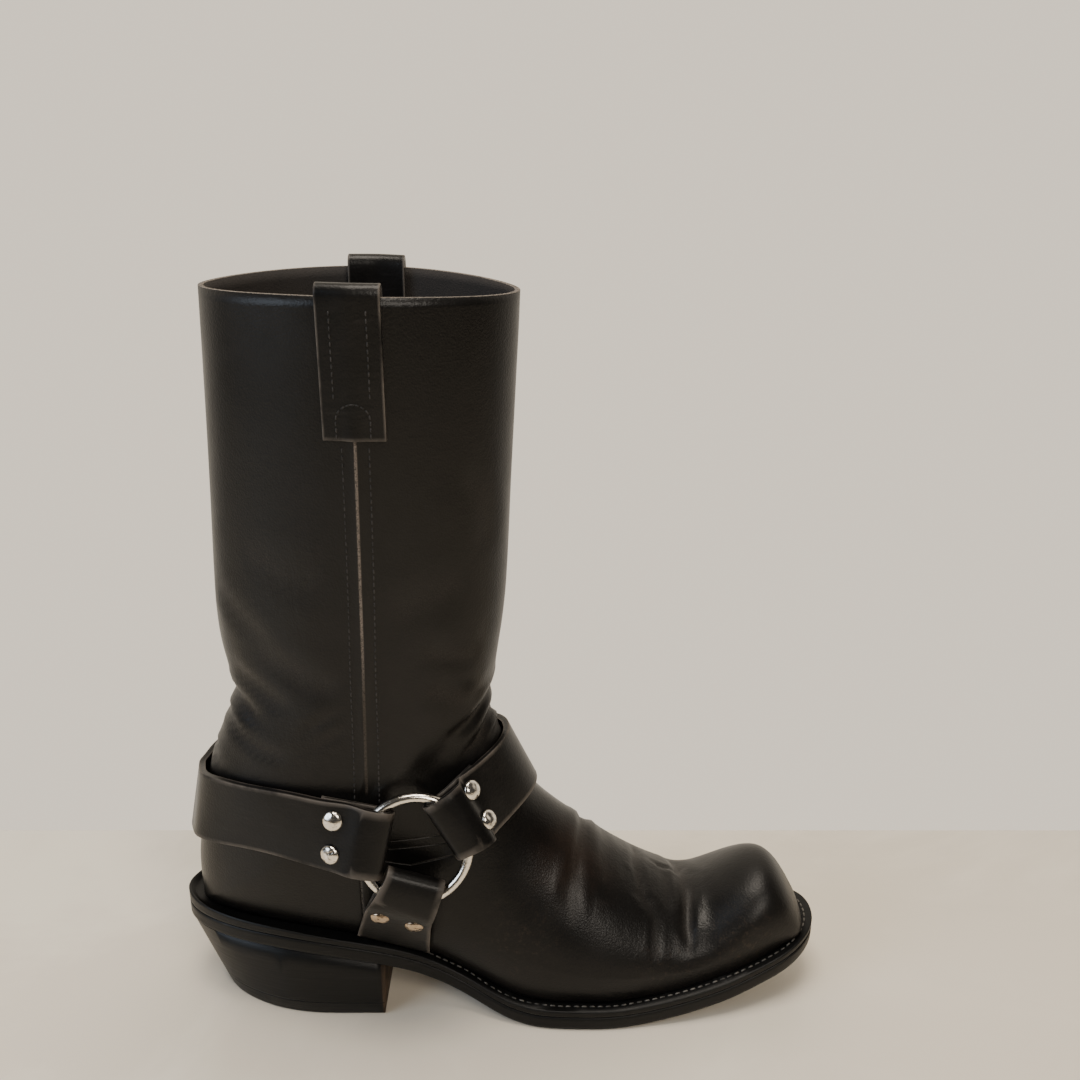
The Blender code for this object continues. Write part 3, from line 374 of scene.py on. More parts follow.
def upper_finish(colour):
    """Waxed black leather with creases, a painted warm reflection on the vamp, scuffed places with a
    painted warm highlight, a light seam line and panel edges.
    """
    f = Finish("upper_leather")
    broad = f.noise(14, 3, 0.6)
    cloud = f.noise(46, 4, 0.65)
    grain = f.cells(1050)
    fine = f.noise(2100, 2, 0.6)
    lines = f.noise(130, 5, 0.62, (1.0, 1.0, 0.42), (0.2, 0.5, 0.1), 1.2)
    wrinkles = f.noise(260, 4, 0.6, (0.45, 1.0, 1.0), (0.0, 0.4, 0.3), 0.8)
    left = f.near((0.012, -0.045, 0.225), 0.060)
    ankle = f.near((0.015, -0.045, 0.140), 0.050)
    vamp = f.near((0.165, -0.010, 0.055), 0.070)
    creased = (left * 0.8 + ankle + vamp * 0.7).between(0.05, 1.0)
    way = (f.z - SEAM_FOOT) * (1 / SEAM_HEIGHT)
    seam = f.x - f.z * SEAM_SLOPE - SEAM_OFFSET - way * (1 - way) * SEAM_BOW + fine * 0.0005 - 0.00025
    edge = 1 - seam.math("ABSOLUTE").between(0.00030, 0.00085)
    edge = edge * f.z.between(0.120, 0.124) * (1 - f.z.between(0.286, 0.288))
    edge = edge * (f.z.between(0.165, 0.205) * 0.75 + 0.25)
    # Brown tint on the vamp and the front of the ankle: a painted warm reflection
    brown = f.near((0.130, -0.020, 0.080), 0.055) + f.near((0.095, 0.0, 0.165), 0.035)
    brown = (brown * cloud).between(0.15, 0.8)
    base = f.mix(broad.between(0.35, 0.7), colour, shade(0.0062, 0.0054, 0.0050))
    base = f.mix(brown * 0.75, base, shade(0.021, 0.0120, 0.0078))
    scuffed = f.noise(330, 4, 0.7, (1, 1, 2.4)).between(0.62, 0.80) * cloud.between(0.45, 0.7)
    base = f.mix(scuffed * 0.22, base, shade(0.045, 0.042, 0.040))
    # Tan patches at the toe and along the lower vamp side: partly real scuffs, partly a painted warm
    # highlight
    tan_scuffs_and_highlight = f.near((0.206, -0.030, 0.038), 0.026) + f.near((0.172, -0.043, 0.030), 0.024)
    tan_scuffs_and_highlight = tan_scuffs_and_highlight + f.near((0.100, -0.040, 0.045), 0.030) * 0.6
    tan_scuffs_and_highlight = tan_scuffs_and_highlight * f.noise(420, 4, 0.72).between(0.50, 0.72)
    base = f.mix(tan_scuffs_and_highlight * 0.55, base, shade(0.050, 0.034, 0.023))
    fold = f.attribute("fold")
    base = f.mix(fold * fine.between(0.40, 0.62) * 0.45, base, shade(0.050, 0.042, 0.036))
    base = f.mix(edge * fine.between(0.30, 0.58), base, shade(0.175, 0.140, 0.112))
    ragged = cloud * 0.0014 + fine * 0.0010 - 0.0012
    lateral = f.y.between(0.0, -0.004)
    counter = 1 - (f.x + ragged - COUNTER_EDGE).math("ABSOLUTE").between(0.0002, 0.0010)
    counter = counter * lateral * f.z.between(0.052, 0.056) * (1 - f.z.between(0.094, 0.097))
    window = f.x.between(0.037, 0.040) * (1 - f.x.between(0.068, 0.072)) * lateral
    lip = f.z + ragged * 0.3 - f.x * 0.05
    low = f.z + ragged * 0.3 - (f.x - PANEL_MIDDLE).math("ABSOLUTE") * 0.19
    panel = 0
    for height, level in ((lip, PANEL_LIP[0]), (lip, PANEL_LIP[1]), (low, PANEL_LOW)):
        panel = panel + (1 - (height - level).math("ABSOLUTE").between(0.0001, 0.0006)) * window
    base = f.mix(counter * fine.between(0.42, 0.60), base, shade(0.120, 0.104, 0.090))
    base = f.mix(panel * fine.between(0.40, 0.62) * 0.5, base, shade(0.060, 0.054, 0.048))
    rough = broad.between(0.25, 0.75) * 0.10 + cloud * 0.14 + 0.235
    rough = rough + scuffed * 0.15 + edge * 0.2 + fold * 0.1
    height = grain * 0.10 + fine * 0.05 + (lines * 0.55 + wrinkles * 0.35) * (creased * 0.85 + 0.15)
    normal = f.bump(height + broad * 0.35 + cloud * 0.30 - counter * 0.8 - panel * 0.5, 0.0011, 0.55)
    return f.finish(Base_Color=base, Roughness=rough, Normal=normal, Specular_IOR_Level=0.27)


def inside_finish():
    """Brown-black lining with a nap."""
    f = Finish("upper_lining")
    cloud = f.noise(60, 4, 0.6)
    nap = f.noise(1500, 2, 0.6)
    base = f.mix(cloud, shade(0.030, 0.024, 0.020), shade(0.014, 0.012, 0.011))
    return f.finish(Base_Color=base, Roughness=0.85, Normal=f.bump(nap, 0.0006, 0.5))


def raw_finish():
    """Raw cut edge of the upper, lighter than its face."""
    f = Finish("raw_edge")
    fuzz = f.noise(900, 3, 0.7)
    base = f.mix(fuzz.between(0.35, 0.65), shade(0.060, 0.052, 0.045), shade(0.230, 0.195, 0.165))
    return f.finish(Base_Color=base, Roughness=0.9, Normal=f.bump(fuzz, 0.0007, 0.8))


def strap_finish(colour):
    """Thick strap leather with worn edges."""
    f = Finish("strap_leather")
    cloud = f.noise(55, 4, 0.6)
    grain = f.cells(900)
    fine = f.noise(1900, 2, 0.6)
    streak = f.noise(160, 4, 0.65, (0.25, 0.25, 1.6))
    edge = f.attribute("worn")
    base = f.mix(cloud.between(0.3, 0.7), colour, shade(0.0068, 0.0061, 0.0057))
    scuffed = streak.between(0.60, 0.78) * cloud
    base = f.mix(scuffed * 0.30, base, shade(0.052, 0.047, 0.043))
    base = f.mix(edge * cloud.between(0.25, 0.6), base, shade(0.120, 0.104, 0.090))
    rough = cloud * 0.16 + 0.24 + scuffed * 0.18 + edge * 0.2
    normal = f.bump(grain * 0.10 + fine * 0.05 + streak * 0.22 + cloud * 0.25, 0.0009, 0.5)
    return f.finish(Base_Color=base, Roughness=rough, Normal=normal, Specular_IOR_Level=0.24)


def rubber_finish(colour):
    """Satin edge of the welt and the outsole, with fine streaks and dust."""
    f = Finish("sole_rubber")
    cloud = f.noise(70, 4, 0.6)
    streak = f.noise(420, 4, 0.65, (0.12, 0.12, 1.6))
    dust = f.noise(900, 3, 0.7)
    base = f.mix(streak.between(0.58, 0.78) * 0.5, colour, shade(0.034, 0.033, 0.032))
    base = f.mix(dust.between(0.66, 0.82) * cloud * 0.5, base, shade(0.070, 0.066, 0.060))
    rough = cloud * 0.18 + streak * 0.10 + 0.29
    normal = f.bump(streak * 0.5 + dust * 0.2, 0.0005, 0.5)
    return f.finish(Base_Color=base, Roughness=rough, Normal=normal, Specular_IOR_Level=0.22)


def tread_finish():
    """Ribbed underside of the outsole."""
    f = Finish("tread_rubber")
    cloud = f.noise(70, 4, 0.6)
    ribs = f.node("ShaderNodeTexWave", {"wave_type": "BANDS", "bands_direction": "X"},
                  {"Vector": f.place, "Scale": 130.0, "Distortion": 0.0}, "Fac")
    base = f.mix(cloud, shade(0.014, 0.014, 0.014), shade(0.050, 0.047, 0.043))
    return f.finish(Base_Color=base, Roughness=0.62, Normal=f.bump(ribs, 0.0008, 0.6))


def stack_finish():
    """Black stacked leather with one lift line and a browner breast."""
    f = Finish("heel_stack")
    cloud = f.noise(60, 4, 0.6)
    streak = f.noise(300, 4, 0.6, (0.1, 0.1, 1.8))
    breast = f.x.between(0.0355, 0.0362)
    lift = 1 - (f.z - 0.0068).math("ABSOLUTE").between(0.0, 0.00045)
    black = shade(0.0045, 0.0045, 0.0045)
    base = f.mix(streak.between(0.55, 0.8) * 0.5, black, shade(0.018, 0.017, 0.016))
    tan = f.mix(cloud.between(0.35, 0.65), shade(0.030, 0.021, 0.015), shade(0.105, 0.070, 0.046))
    base = f.mix(breast, base, tan)
    base = f.mix(lift * 0.8, base, shade(0.003, 0.003, 0.003))
    rough = cloud * 0.16 + 0.32 + breast * 0.30
    normal = f.bump(streak * 0.4 - lift, 0.0006, 0.6)
    return f.finish(Base_Color=base, Roughness=rough, Normal=normal, Specular_IOR_Level=0.22)


def insole_finish():
    """Matt tan leather."""
    f = Finish("insole_leather")
    cloud = f.noise(45, 4, 0.6)
    fine = f.noise(1300, 2, 0.6)
    base = f.mix(cloud, shade(0.10, 0.060, 0.036), shade(0.045, 0.030, 0.021))
    return f.finish(Base_Color=base, Roughness=cloud * 0.2 + 0.55, Normal=f.bump(fine, 0.0005, 0.5))


def nickel_finish(name, colour, tarnish):
    """Polished nickel with scratches, and more brown spots the more it is tarnished."""
    f = Finish(name)
    cloud = f.noise(420, 4, 0.65)
    scratch = f.noise(1400, 3, 0.7, (0.15, 1.0, 1.0), (0.3, 0.2, 0.9))
    marks = cloud.between(0.62 - tarnish, 0.70 - tarnish * 0.6)
    base = f.mix(marks * (0.35 + tarnish * 3), colour, shade(0.105, 0.070, 0.042))
    rough = cloud * 0.10 + scratch * 0.08 + 0.06 + marks * 0.15
    return f.finish(Base_Color=base, Metallic=1.0, Roughness=rough, Normal=f.bump(scratch, 0.0002, 0.3))


def thread_finish(name, dark, light):
    """Twisted thread between two colours."""
    f = Finish(name)
    cloud = f.noise(260, 3, 0.6)
    twist = f.noise(2600, 2, 0.6)
    base = f.mix(cloud.between(0.35, 0.65), dark, light)
    return f.finish(Base_Color=base, Roughness=0.72, Normal=f.bump(twist, 0.0003, 0.7))


# Working on meshes

def only(item):
    """Make one object the active one and the only one that is selected."""
    bpy.ops.object.select_all(action="DESELECT")
    item.select_set(True)
    bpy.context.view_layer.objects.active = item


def apply_all(item):
    """Apply an object's modifiers in their order."""
    only(item)
    for modifier in list(item.modifiers):
        bpy.ops.object.modifier_apply(modifier=modifier.name)


def piece_of(name, mesh, finishes, replaced=()):
    """Register a finished mesh as a piece of the boot."""
    item = bpy.data.objects.new(name, mesh)
    bpy.context.scene.collection.objects.link(item)
    settle(item, finishes, replaced)
    return item


def settle(item, finishes, replaced=()):
    """Give a piece its finishes, its body and the CAD nodes that it replaces."""
    if finishes:
        item.data.materials.clear()
        for finish in finishes:
            item.data.materials.append(finish)
    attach(item, "root")
    if replaced:
        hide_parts(*replaced)


def cad_copy(node):
    """A merged bmesh of a CAD node with its triangles joined to quads."""
    work = bmesh.new()
    work.from_mesh(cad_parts[node].data)
    bmesh.ops.remove_doubles(work, verts=work.verts, dist=2e-6)
    bmesh.ops.join_triangles(
        work, faces=work.faces,
        angle_face_threshold=math.radians(35), angle_shape_threshold=math.radians(50),
        cmp_seam=False, cmp_sharp=False, cmp_uvs=False, cmp_vcols=False, cmp_materials=False,
    )
    return work


def smooth_mesh(name, work, levels, keep=None):
    """An object with a bmesh smoothed by Subdivision Surface, its edges sharper than keep creased."""
    if keep is not None:
        crease = work.edges.layers.float.new("crease_edge")
        for edge in work.edges:
            if len(edge.link_faces) == 2 and edge.calc_face_angle(0.0) > math.radians(keep):
                edge[crease] = 1.0
    mesh = bpy.data.meshes.new(name)
    work.to_mesh(mesh)
    work.free()
    item = bpy.data.objects.new(name, mesh)
    bpy.context.scene.collection.objects.link(item)
    smooth = item.modifiers.new("Smooth", "SUBSURF")
    smooth.levels = levels
    smooth.render_levels = levels
    smooth.boundary_smooth = "PRESERVE_CORNERS"
    apply_all(item)
    return item


def tree_of(item):
    """A search tree over an object's faces."""
    mesh = item.data
    return BVHTree.FromPolygons([v.co for v in mesh.vertices], [p.vertices for p in mesh.polygons])


# Creases of the upper: points from one end to the other, half width and depth, in millimetres
CREASES = (
    # Breaks across the vamp
    (((126, 34, 56), (130, 22, 71), (131, 8, 79), (130, -4, 78),
      (127, -17, 72), (123, -26, 64), (121, -35, 50)), 2.6, 1.6),
    (((134, 6, 77), (132, -8, 74), (129, -19, 68), (126, -28, 59), (125, -36, 46)), 1.6, 0.7),
    (((154, 26, 49), (157, 14, 57), (156, 2, 59),
      (157, -7, 56), (158, -14, 53), (160, -22, 46)), 2.2, 1.2),
    (((151, -4, 62), (153, -12, 58), (155, -18, 53)), 1.5, 0.6),
    (((162, -12, 51), (163, -20, 47), (164, -30, 38), (163, -38, 29)), 1.7, 0.7),
    (((139, 24, 67), (143, 8, 70), (143, -8, 68), (140, -22, 60)), 2.2, 0.6),
    (((168, 14, 50), (170, 2, 52), (171, -9, 48), (171, -18, 44)), 1.7, 0.8),
    # Valley behind the toe box
    (((174, 34, 36), (178, 23, 44), (180, 9, 46),
      (180, -6, 45), (179, -18, 41), (178, -28, 34)), 3.0, 1.5),
    (((181, 19, 43), (176, 9, 48), (169, 9, 52), (163, 12, 55)), 1.5, 0.7),
    (((186, 18, 44), (186, 6, 47), (184, -5, 46),
      (181, -15, 42), (180, -25, 36), (179, -33, 29)), 1.9, 0.9),
    (((191, 16, 47), (189, 4, 49), (187, -6, 47)), 1.4, 0.5),
    # Pleats at the front of the ankle
    (((99, 14, 141), (95, 8, 146), (93, 0, 147),
      (92, -10, 145), (86, -20, 137), (76, -29, 131)), 2.6, 1.9),
    (((97, 10, 135), (95, 0, 139), (90, -12, 136), (82, -23, 129)), 2.0, 1.3),
    (((93, 8, 156), (92, 0, 158), (89, -10, 154), (81, -21, 147), (70, -30, 143)), 2.6, 1.1),
    # Fold at the back, where the shaft leans over the counter
    (((-22, 18, 160), (-26, 8, 159), (-28, 0, 158),
      (-26, -9, 158), (-19, -20, 156), (-10, -28, 151)), 3.4, 1.9),
    (((-24, 14, 146), (-32, 0, 148), (-24, -15, 145), (-10, -27, 139), (2, -34, 136)), 2.6, 1.1),
    (((-42, 3, 131), (-40, -8, 129), (-37, -14, 122), (-33, -21, 114)), 2.0, 1.1),
    (((-38, -12, 132), (-32, -20, 122), (-28, -25, 114)), 1.8, 0.7),
    # Slack of the shaft
    (((-18, -20, 196), (-4, -31, 184), (12, -37, 176), (27, -39, 172)), 6.0, 0.8),
    (((62, -36, 172), (76, -28, 163), (88, -14, 158)), 5.0, 0.9),
    (((-14, -26, 232), (4, -36, 224), (22, -40, 221)), 7.0, 0.5),
    (((48, -40, 206), (64, -37, 214), (80, -26, 218)), 7.0, 0.5),
    (((-26, -8, 214), (-16, -24, 200), (-4, -33, 192)), 4.0, 0.8),
    (((-24, -14, 176), (-12, -28, 168), (2, -36, 160)), 3.5, 0.8),
    (((8, -38, 150), (16, -40, 158), (24, -40, 163)), 2.4, 0.5),
    (((12, -38, 144), (20, -39, 150), (27, -39, 153)), 2.0, 0.4),
    (((60, -37, 190), (74, -31, 184), (86, -20, 182)), 5.0, 0.7),
    (((78, -26, 268), (84, -20, 250), (86, -16, 230)), 6.0, 0.5),
    (((-16, 20, 190), (2, 33, 180), (22, 39, 174)), 6.0, 0.8),
    (((60, 36, 176), (78, 27, 166), (90, 12, 160)), 5.0, 0.9),
    (((-26, 14, 140), (-12, 28, 136), (4, 35, 133)), 3.0, 1.0),
)


def nearest_on(points, place):
    """Distance from a place to a polyline, and the share of the way along it."""
    best = (1.0, 0.0)
    last = len(points) - 1
    for i in range(last):
        a = points[i]
        run = points[i + 1] - a
        share = min(max((place - a).dot(run) / run.length_squared, 0.0), 1.0)
        gap = (place - a - run * share).length
        if gap < best[0]:
            best = (gap, (i + share) / last)
    return best


def crease_lines(skin):
    """The creases with their points laid on the plain skin."""
    lines = []
    for points, width, depth in CREASES:
        laid = [skin.find_nearest(Vector(point) * MILLIMETRE)[0] for point in points]
        lines.append((laid, width * MILLIMETRE, depth * MILLIMETRE))
    return lines


def crease_depth(lines, place):
    """How far the leather moves at a place, with ridges beside each trough."""
    move = 0.0
    for points, width, depth in lines:
        gap, share = nearest_on(points, place)
        if gap > CREASE_REACH * width:
            continue
        fade = min(share / CREASE_FADE, (1 - share) / CREASE_FADE, 1.0)
        fade = fade * fade * (3 - 2 * fade)
        trough = math.exp(-((gap / width) ** 2))
        ridge = math.exp(-(((gap - RIDGE_PLACE * width) / (RIDGE_WIDTH * width)) ** 2))
        move += (RIDGE_SHARE * ridge - trough) * depth * fade
    return move


# The creased upper's faces, for the stitches to lie on
UPPER_SKIN = {}


def outer_skin():
    """The upper's outer face from its CAD node, open at the collar and the sole."""
    work = cad_copy("upper")
    work.normal_update()
    solid = BVHTree.FromBMesh(work)
    walls = set()
    for face in work.faces:
        middle = face.calc_center_median()
        at_edge = middle.z > RIM_START or middle.z < seat_height(middle.x) + SOLE_ZONE
        reach = (REACH_AT_EDGE if at_edge else REACH) * WALL
        if solid.ray_cast(middle - face.normal * UNDER_SKIN, -face.normal, reach)[0] is not None:
            walls.add(face)
    start = max(walls, key=lambda face: face.calc_center_median().x)
    keep = {start}
    todo = [start]
    while todo:
        face = todo.pop()
        for edge in face.edges:
            for other in edge.link_faces:
                bend = face.normal.angle(other.normal, 0.0)
                if other in walls and other not in keep and bend < math.radians(SKIN_BEND):
                    keep.add(other)
                    todo.append(other)
    bmesh.ops.delete(work, geom=[face for face in work.faces if face not in keep], context="FACES")
    return work


class BootSettings(bpy.types.PropertyGroup):
    leather: bpy.props.FloatVectorProperty(
        name="Leather", description="Colour of the upper's leather", subtype="COLOR", size=4,
        default=(0.0034, 0.0031, 0.0030, 1.0),
    )
    strap: bpy.props.FloatVectorProperty(
        name="Straps", description="Colour of the harness and pull straps", subtype="COLOR", size=4,
        default=(0.0040, 0.0038, 0.0037, 1.0),
    )
    rubber: bpy.props.FloatVectorProperty(
        name="Sole", description="Colour of the sole's edge", subtype="COLOR", size=4,
        default=(0.0038, 0.0038, 0.0038, 1.0),
    )
    nickel: bpy.props.FloatVectorProperty(
        name="Nickel", description="Colour of the rings and rivets", subtype="COLOR", size=4,
        default=(0.80, 0.755, 0.68, 1.0),
    )
    stitch: bpy.props.FloatProperty(
        name="Stitch length", description="Pitch of the welt stitches", subtype="DISTANCE",
        default=0.0037,
    )


def settings():
    return bpy.context.scene.harness_boot


class BOOT_OT_upper(bpy.types.Operator):
    """Model the creased leather upper with its wall, raw edges and lining"""

    bl_idname = "boot.upper"
    bl_label = "Upper"

    def execute(self, context):
        item = smooth_mesh("boot_upper", outer_skin(), 2)
        mesh = item.data
        lines = crease_lines(tree_of(item))
        normals = [v.normal.copy() for v in mesh.vertices]
        fold = mesh.attributes.new("fold", "FLOAT", "POINT")
        for vertex, normal in zip(mesh.vertices, normals):
            move = crease_depth(lines, vertex.co.copy())
            vertex.co += normal * move
            fold.data[vertex.index].value = min(max(-move / FOLD_DEPTH, 0.0), 1.0)
        mesh.update()
        wall = item.modifiers.new("Wall", "SOLIDIFY")
        wall.thickness = WALL
        wall.offset = -1.0
        wall.use_even_offset = True
        wall.thickness_clamp = 0.6
        wall.material_offset = 1
        wall.material_offset_rim = 2
        item.data.materials.append(upper_finish(settings().leather))
        item.data.materials.append(inside_finish())
        item.data.materials.append(raw_finish())
        apply_all(item)
        item.data.shade_smooth()
        settle(item, (), ("upper",))
        UPPER_SKIN["creased"] = tree_of(item)
        return {"FINISHED"}


def worn_edges(item):
    """Store how close each point is to a hard edge."""
    work = bmesh.new()
    work.from_mesh(item.data)
    work.normal_update()
    hard = [
        vertex.co.copy() for vertex in work.verts
        if any(edge.calc_face_angle(0.0) > math.radians(HARD_EDGE) for edge in vertex.link_edges)
    ]
    work.free()
    near = KDTree(len(hard))
    for index, place in enumerate(hard):
        near.insert(place, index)
    near.balance()
    worn = item.data.attributes.new("worn", "FLOAT", "POINT")
    for vertex in item.data.vertices:
        gap = near.find(vertex.co)[2] if hard else 1.0
        worn.data[vertex.index].value = max(0.0, 1 - gap / WORN_REACH)


STRAPS = ("heel_strap", "instep_strap", "lateral_base_strap", "medial_base_strap")
PULLS = ("lateral_pull_strap", "medial_pull_strap")


class BOOT_OT_straps(bpy.types.Operator):
    """Model the harness and pull straps with soft bends and rounded edges"""

    bl_idname = "boot.straps"
    bl_label = "Straps"

    def execute(self, context):
        finish = strap_finish(settings().strap)
        for node in STRAPS + PULLS:
            item = smooth_mesh(node + "_leather", cad_copy(node), 3, 62)
            bevel = item.modifiers.new("Edge", "BEVEL")
            bevel.width = STRAP_ROUNDING
            bevel.segments = 2
            bevel.limit_method = "ANGLE"
            bevel.angle_limit = math.radians(40)
            apply_all(item)
            worn_edges(item)
            item.data.shade_smooth()
            settle(item, (finish,), (node,))
        return {"FINISHED"}


def frame_of(node):
    """Centre and axis of a round CAD node, from the middle of its box and the flattest way of its
    points.
    """
    points = [v.co.copy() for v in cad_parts[node].data.vertices]
    low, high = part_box(node)
    middle = (low + high) / 2
    outward = Vector((0.0, 1.0 if middle.y > 0 else -1.0, 0.0))
    best = None
    for a in points[:: max(len(points) // 12, 1)]:
        for b in points[:: max(len(points) // 11, 1)]:
            axis = (a - middle).cross(b - middle)
            if axis.length < 1e-7:
                continue
            axis.normalize()
            heights = [(p - middle).dot(axis) for p in points]
            spread = max(heights) - min(heights)
            if best is None or spread < best[0]:
                best = (spread, axis)
    axis = best[1]
    if axis.dot(outward) < 0:
        axis.negate()
    for _ in range(4):
        normal = Vector((0, 0, 0))
        flat = [p - middle - axis * (p - middle).dot(axis) for p in points]
        for a, b in zip(flat, flat[1:]):
            turn = a.cross(b)
            normal += turn if turn.dot(axis) > 0 else -turn
        if normal.length > 0:
            axis = normal.normalized()
    return middle, axis


class BOOT_OT_rings(bpy.types.Operator):
    """Model the two wire rings of the harness"""

    bl_idname = "boot.rings"
    bl_label = "Rings"

    def execute(self, context):
        finish = nickel_finish("ring_nickel", settings().nickel, 0.0)
        for node in ("lateral_ring", "medial_ring"):
            middle, axis = frame_of(node)
            bpy.ops.object.select_all(action="DESELECT")
            bpy.ops.mesh.primitive_torus_add(
                major_radius=RING_RADIUS, minor_radius=WIRE_RADIUS,
                major_segments=128, minor_segments=28,
                location=middle, rotation=axis.to_track_quat("Z", "Y").to_euler(),
            )
            ring = context.active_object
            ring.name = node + "_wire"
            bpy.ops.object.transform_apply(location=True, rotation=True, scale=True)
            ring.data.shade_smooth()
            settle(ring, (finish,), (node,))
        return {"FINISHED"}


RIVETS = [
    f"{side}_{strap}_rivet_{number}"
    for side in ("lateral", "medial") for strap in ("heel", "instep", "base") for number in (1, 2)
]


class BOOT_OT_rivets(bpy.types.Operator):
    """Model the domed rivets, dented by wear"""

    bl_idname = "boot.rivets"
    bl_label = "Rivets"

    def execute(self, context):
        bright = nickel_finish("rivet_nickel", settings().nickel, 0.06)
        dull = nickel_finish("rivet_bronze", (0.46, 0.36, 0.26, 1.0), 0.13)
        chance = random.Random(5)
        for node in RIVETS:
            middle, axis = frame_of(node)
            work = bmesh.new()
            bmesh.ops.create_uvsphere(work, u_segments=40, v_segments=24, radius=RIVET_RADIUS)
            cut = bmesh.ops.bisect_plane(
                work, geom=work.verts[:] + work.edges[:] + work.faces[:], dist=1e-6,
                plane_co=(0, 0, 0), plane_no=(0, 0, 1), clear_inner=True,
            )
            rim = [edge for edge in cut["geom_cut"] if isinstance(edge, bmesh.types.BMEdge)]
            bmesh.ops.contextual_create(work, geom=rim)
            dents = []
            for _ in range(RIVET_DENTS):
                spot = Vector((chance.uniform(-3, 3), chance.uniform(-3, 3), 0)) * MILLIMETRE
                wide = chance.uniform(0.5, 1.3) * MILLIMETRE
                deep = chance.uniform(0.08, 0.26) * MILLIMETRE
                dents.append((spot, wide, deep))
            turn = axis.to_track_quat("Z", "Y").to_matrix()
            for vertex in work.verts:
                place = vertex.co.copy()
                if place.z > 1e-5:
                    place.z *= RIVET_HEIGHT / RIVET_RADIUS
                    for spot, wide, deep in dents:
                        gap = (Vector((place.x, place.y, 0)) - spot).length
                        place.z -= deep * math.exp(-((gap / wide) ** 2)) * min(place.z / DENT_RISE, 1.0)
                    place.z = max(place.z, DENT_FLOOR)
                vertex.co = middle + turn @ (place - Vector((0, 0, RIVET_SINK)))
            mesh = bpy.data.meshes.new(node + "_dome")
            bmesh.ops.recalc_face_normals(work, faces=work.faces)
            work.to_mesh(mesh)
            work.free()
            mesh.shade_smooth()
            finish = dull if "base" in node else bright
            piece_of(node + "_dome", mesh, (finish,), (node,))
        return {"FINISHED"}


class BOOT_OT_sole(bpy.types.Operator):
    """Smooth the welt, outsole and heel and give them and the insole their finishes"""

    bl_idname = "boot.sole"
    bl_label = "Sole"

    def execute(self, context):
        rubber = rubber_finish(settings().rubber)
        tread = tread_finish()
        for node in ("welt", "outsole"):
            item = smooth_mesh(node + "_rubber", cad_copy(node), 2, 40)
            item.data.shade_smooth()
            item.data.set_sharp_from_angle(angle=math.radians(50))
            settle(item, (rubber, tread), (node,))
            if node == "outsole":
                for face in item.data.polygons:
                    if face.normal.z < -0.75:
                        face.material_index = 1
        item = smooth_mesh("heel_block", cad_copy("heel"), 2, 40)
        item.data.shade_smooth()
        item.data.set_sharp_from_angle(angle=math.radians(50))
        settle(item, (stack_finish(),), ("heel",))
        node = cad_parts["insole"]
        node.data.materials.clear()
        node.data.materials.append(insole_finish())
        return {"FINISHED"}


def stitch_row(name, path, length, radius, finish, tree=None, lift=0.0):
    """One piece of many stitches: a short rounded bar laid on each span of the path."""
    work = bmesh.new()
    for a, b in zip(path, path[1:]):
        middle = (a + b) / 2
        run = (b - a).normalized()
        up = Vector((0, 0, 1))
        if tree is not None:
            place, normal = tree.find_nearest(middle)[:2]
            if place is not None:
                middle = place + normal * lift
                up = normal
        side = run.cross(up).normalized()
        up = side.cross(run).normalized()
        rings = []
        for share, thick in ((-0.5, 0.35), (-0.34, 0.9), (0.0, 1.0), (0.34, 0.9), (0.5, 0.35)):
            sag = -0.9 * radius if abs(share) == 0.5 else 0.0
            centre = middle + run * length * share + up * sag
            ring = []
            for k in range(6):
                angle = 2 * math.pi * k / 6
                offset = side * math.cos(angle) * 1.15 + up * math.sin(angle)
                ring.append(work.verts.new(centre + offset * radius * thick))
            rings.append(ring)
        for low, high in zip(rings, rings[1:]):
            for k in range(6):
                j = (k + 1) % 6
                work.faces.new((low[k], low[j], high[j], high[k]))
        work.faces.new(rings[0][::-1])
        work.faces.new(rings[-1])
    bmesh.ops.recalc_face_normals(work, faces=work.faces)
    mesh = bpy.data.meshes.new(name)
    work.to_mesh(mesh)
    work.free()
    mesh.shade_smooth()
    return piece_of(name, mesh, (finish,))


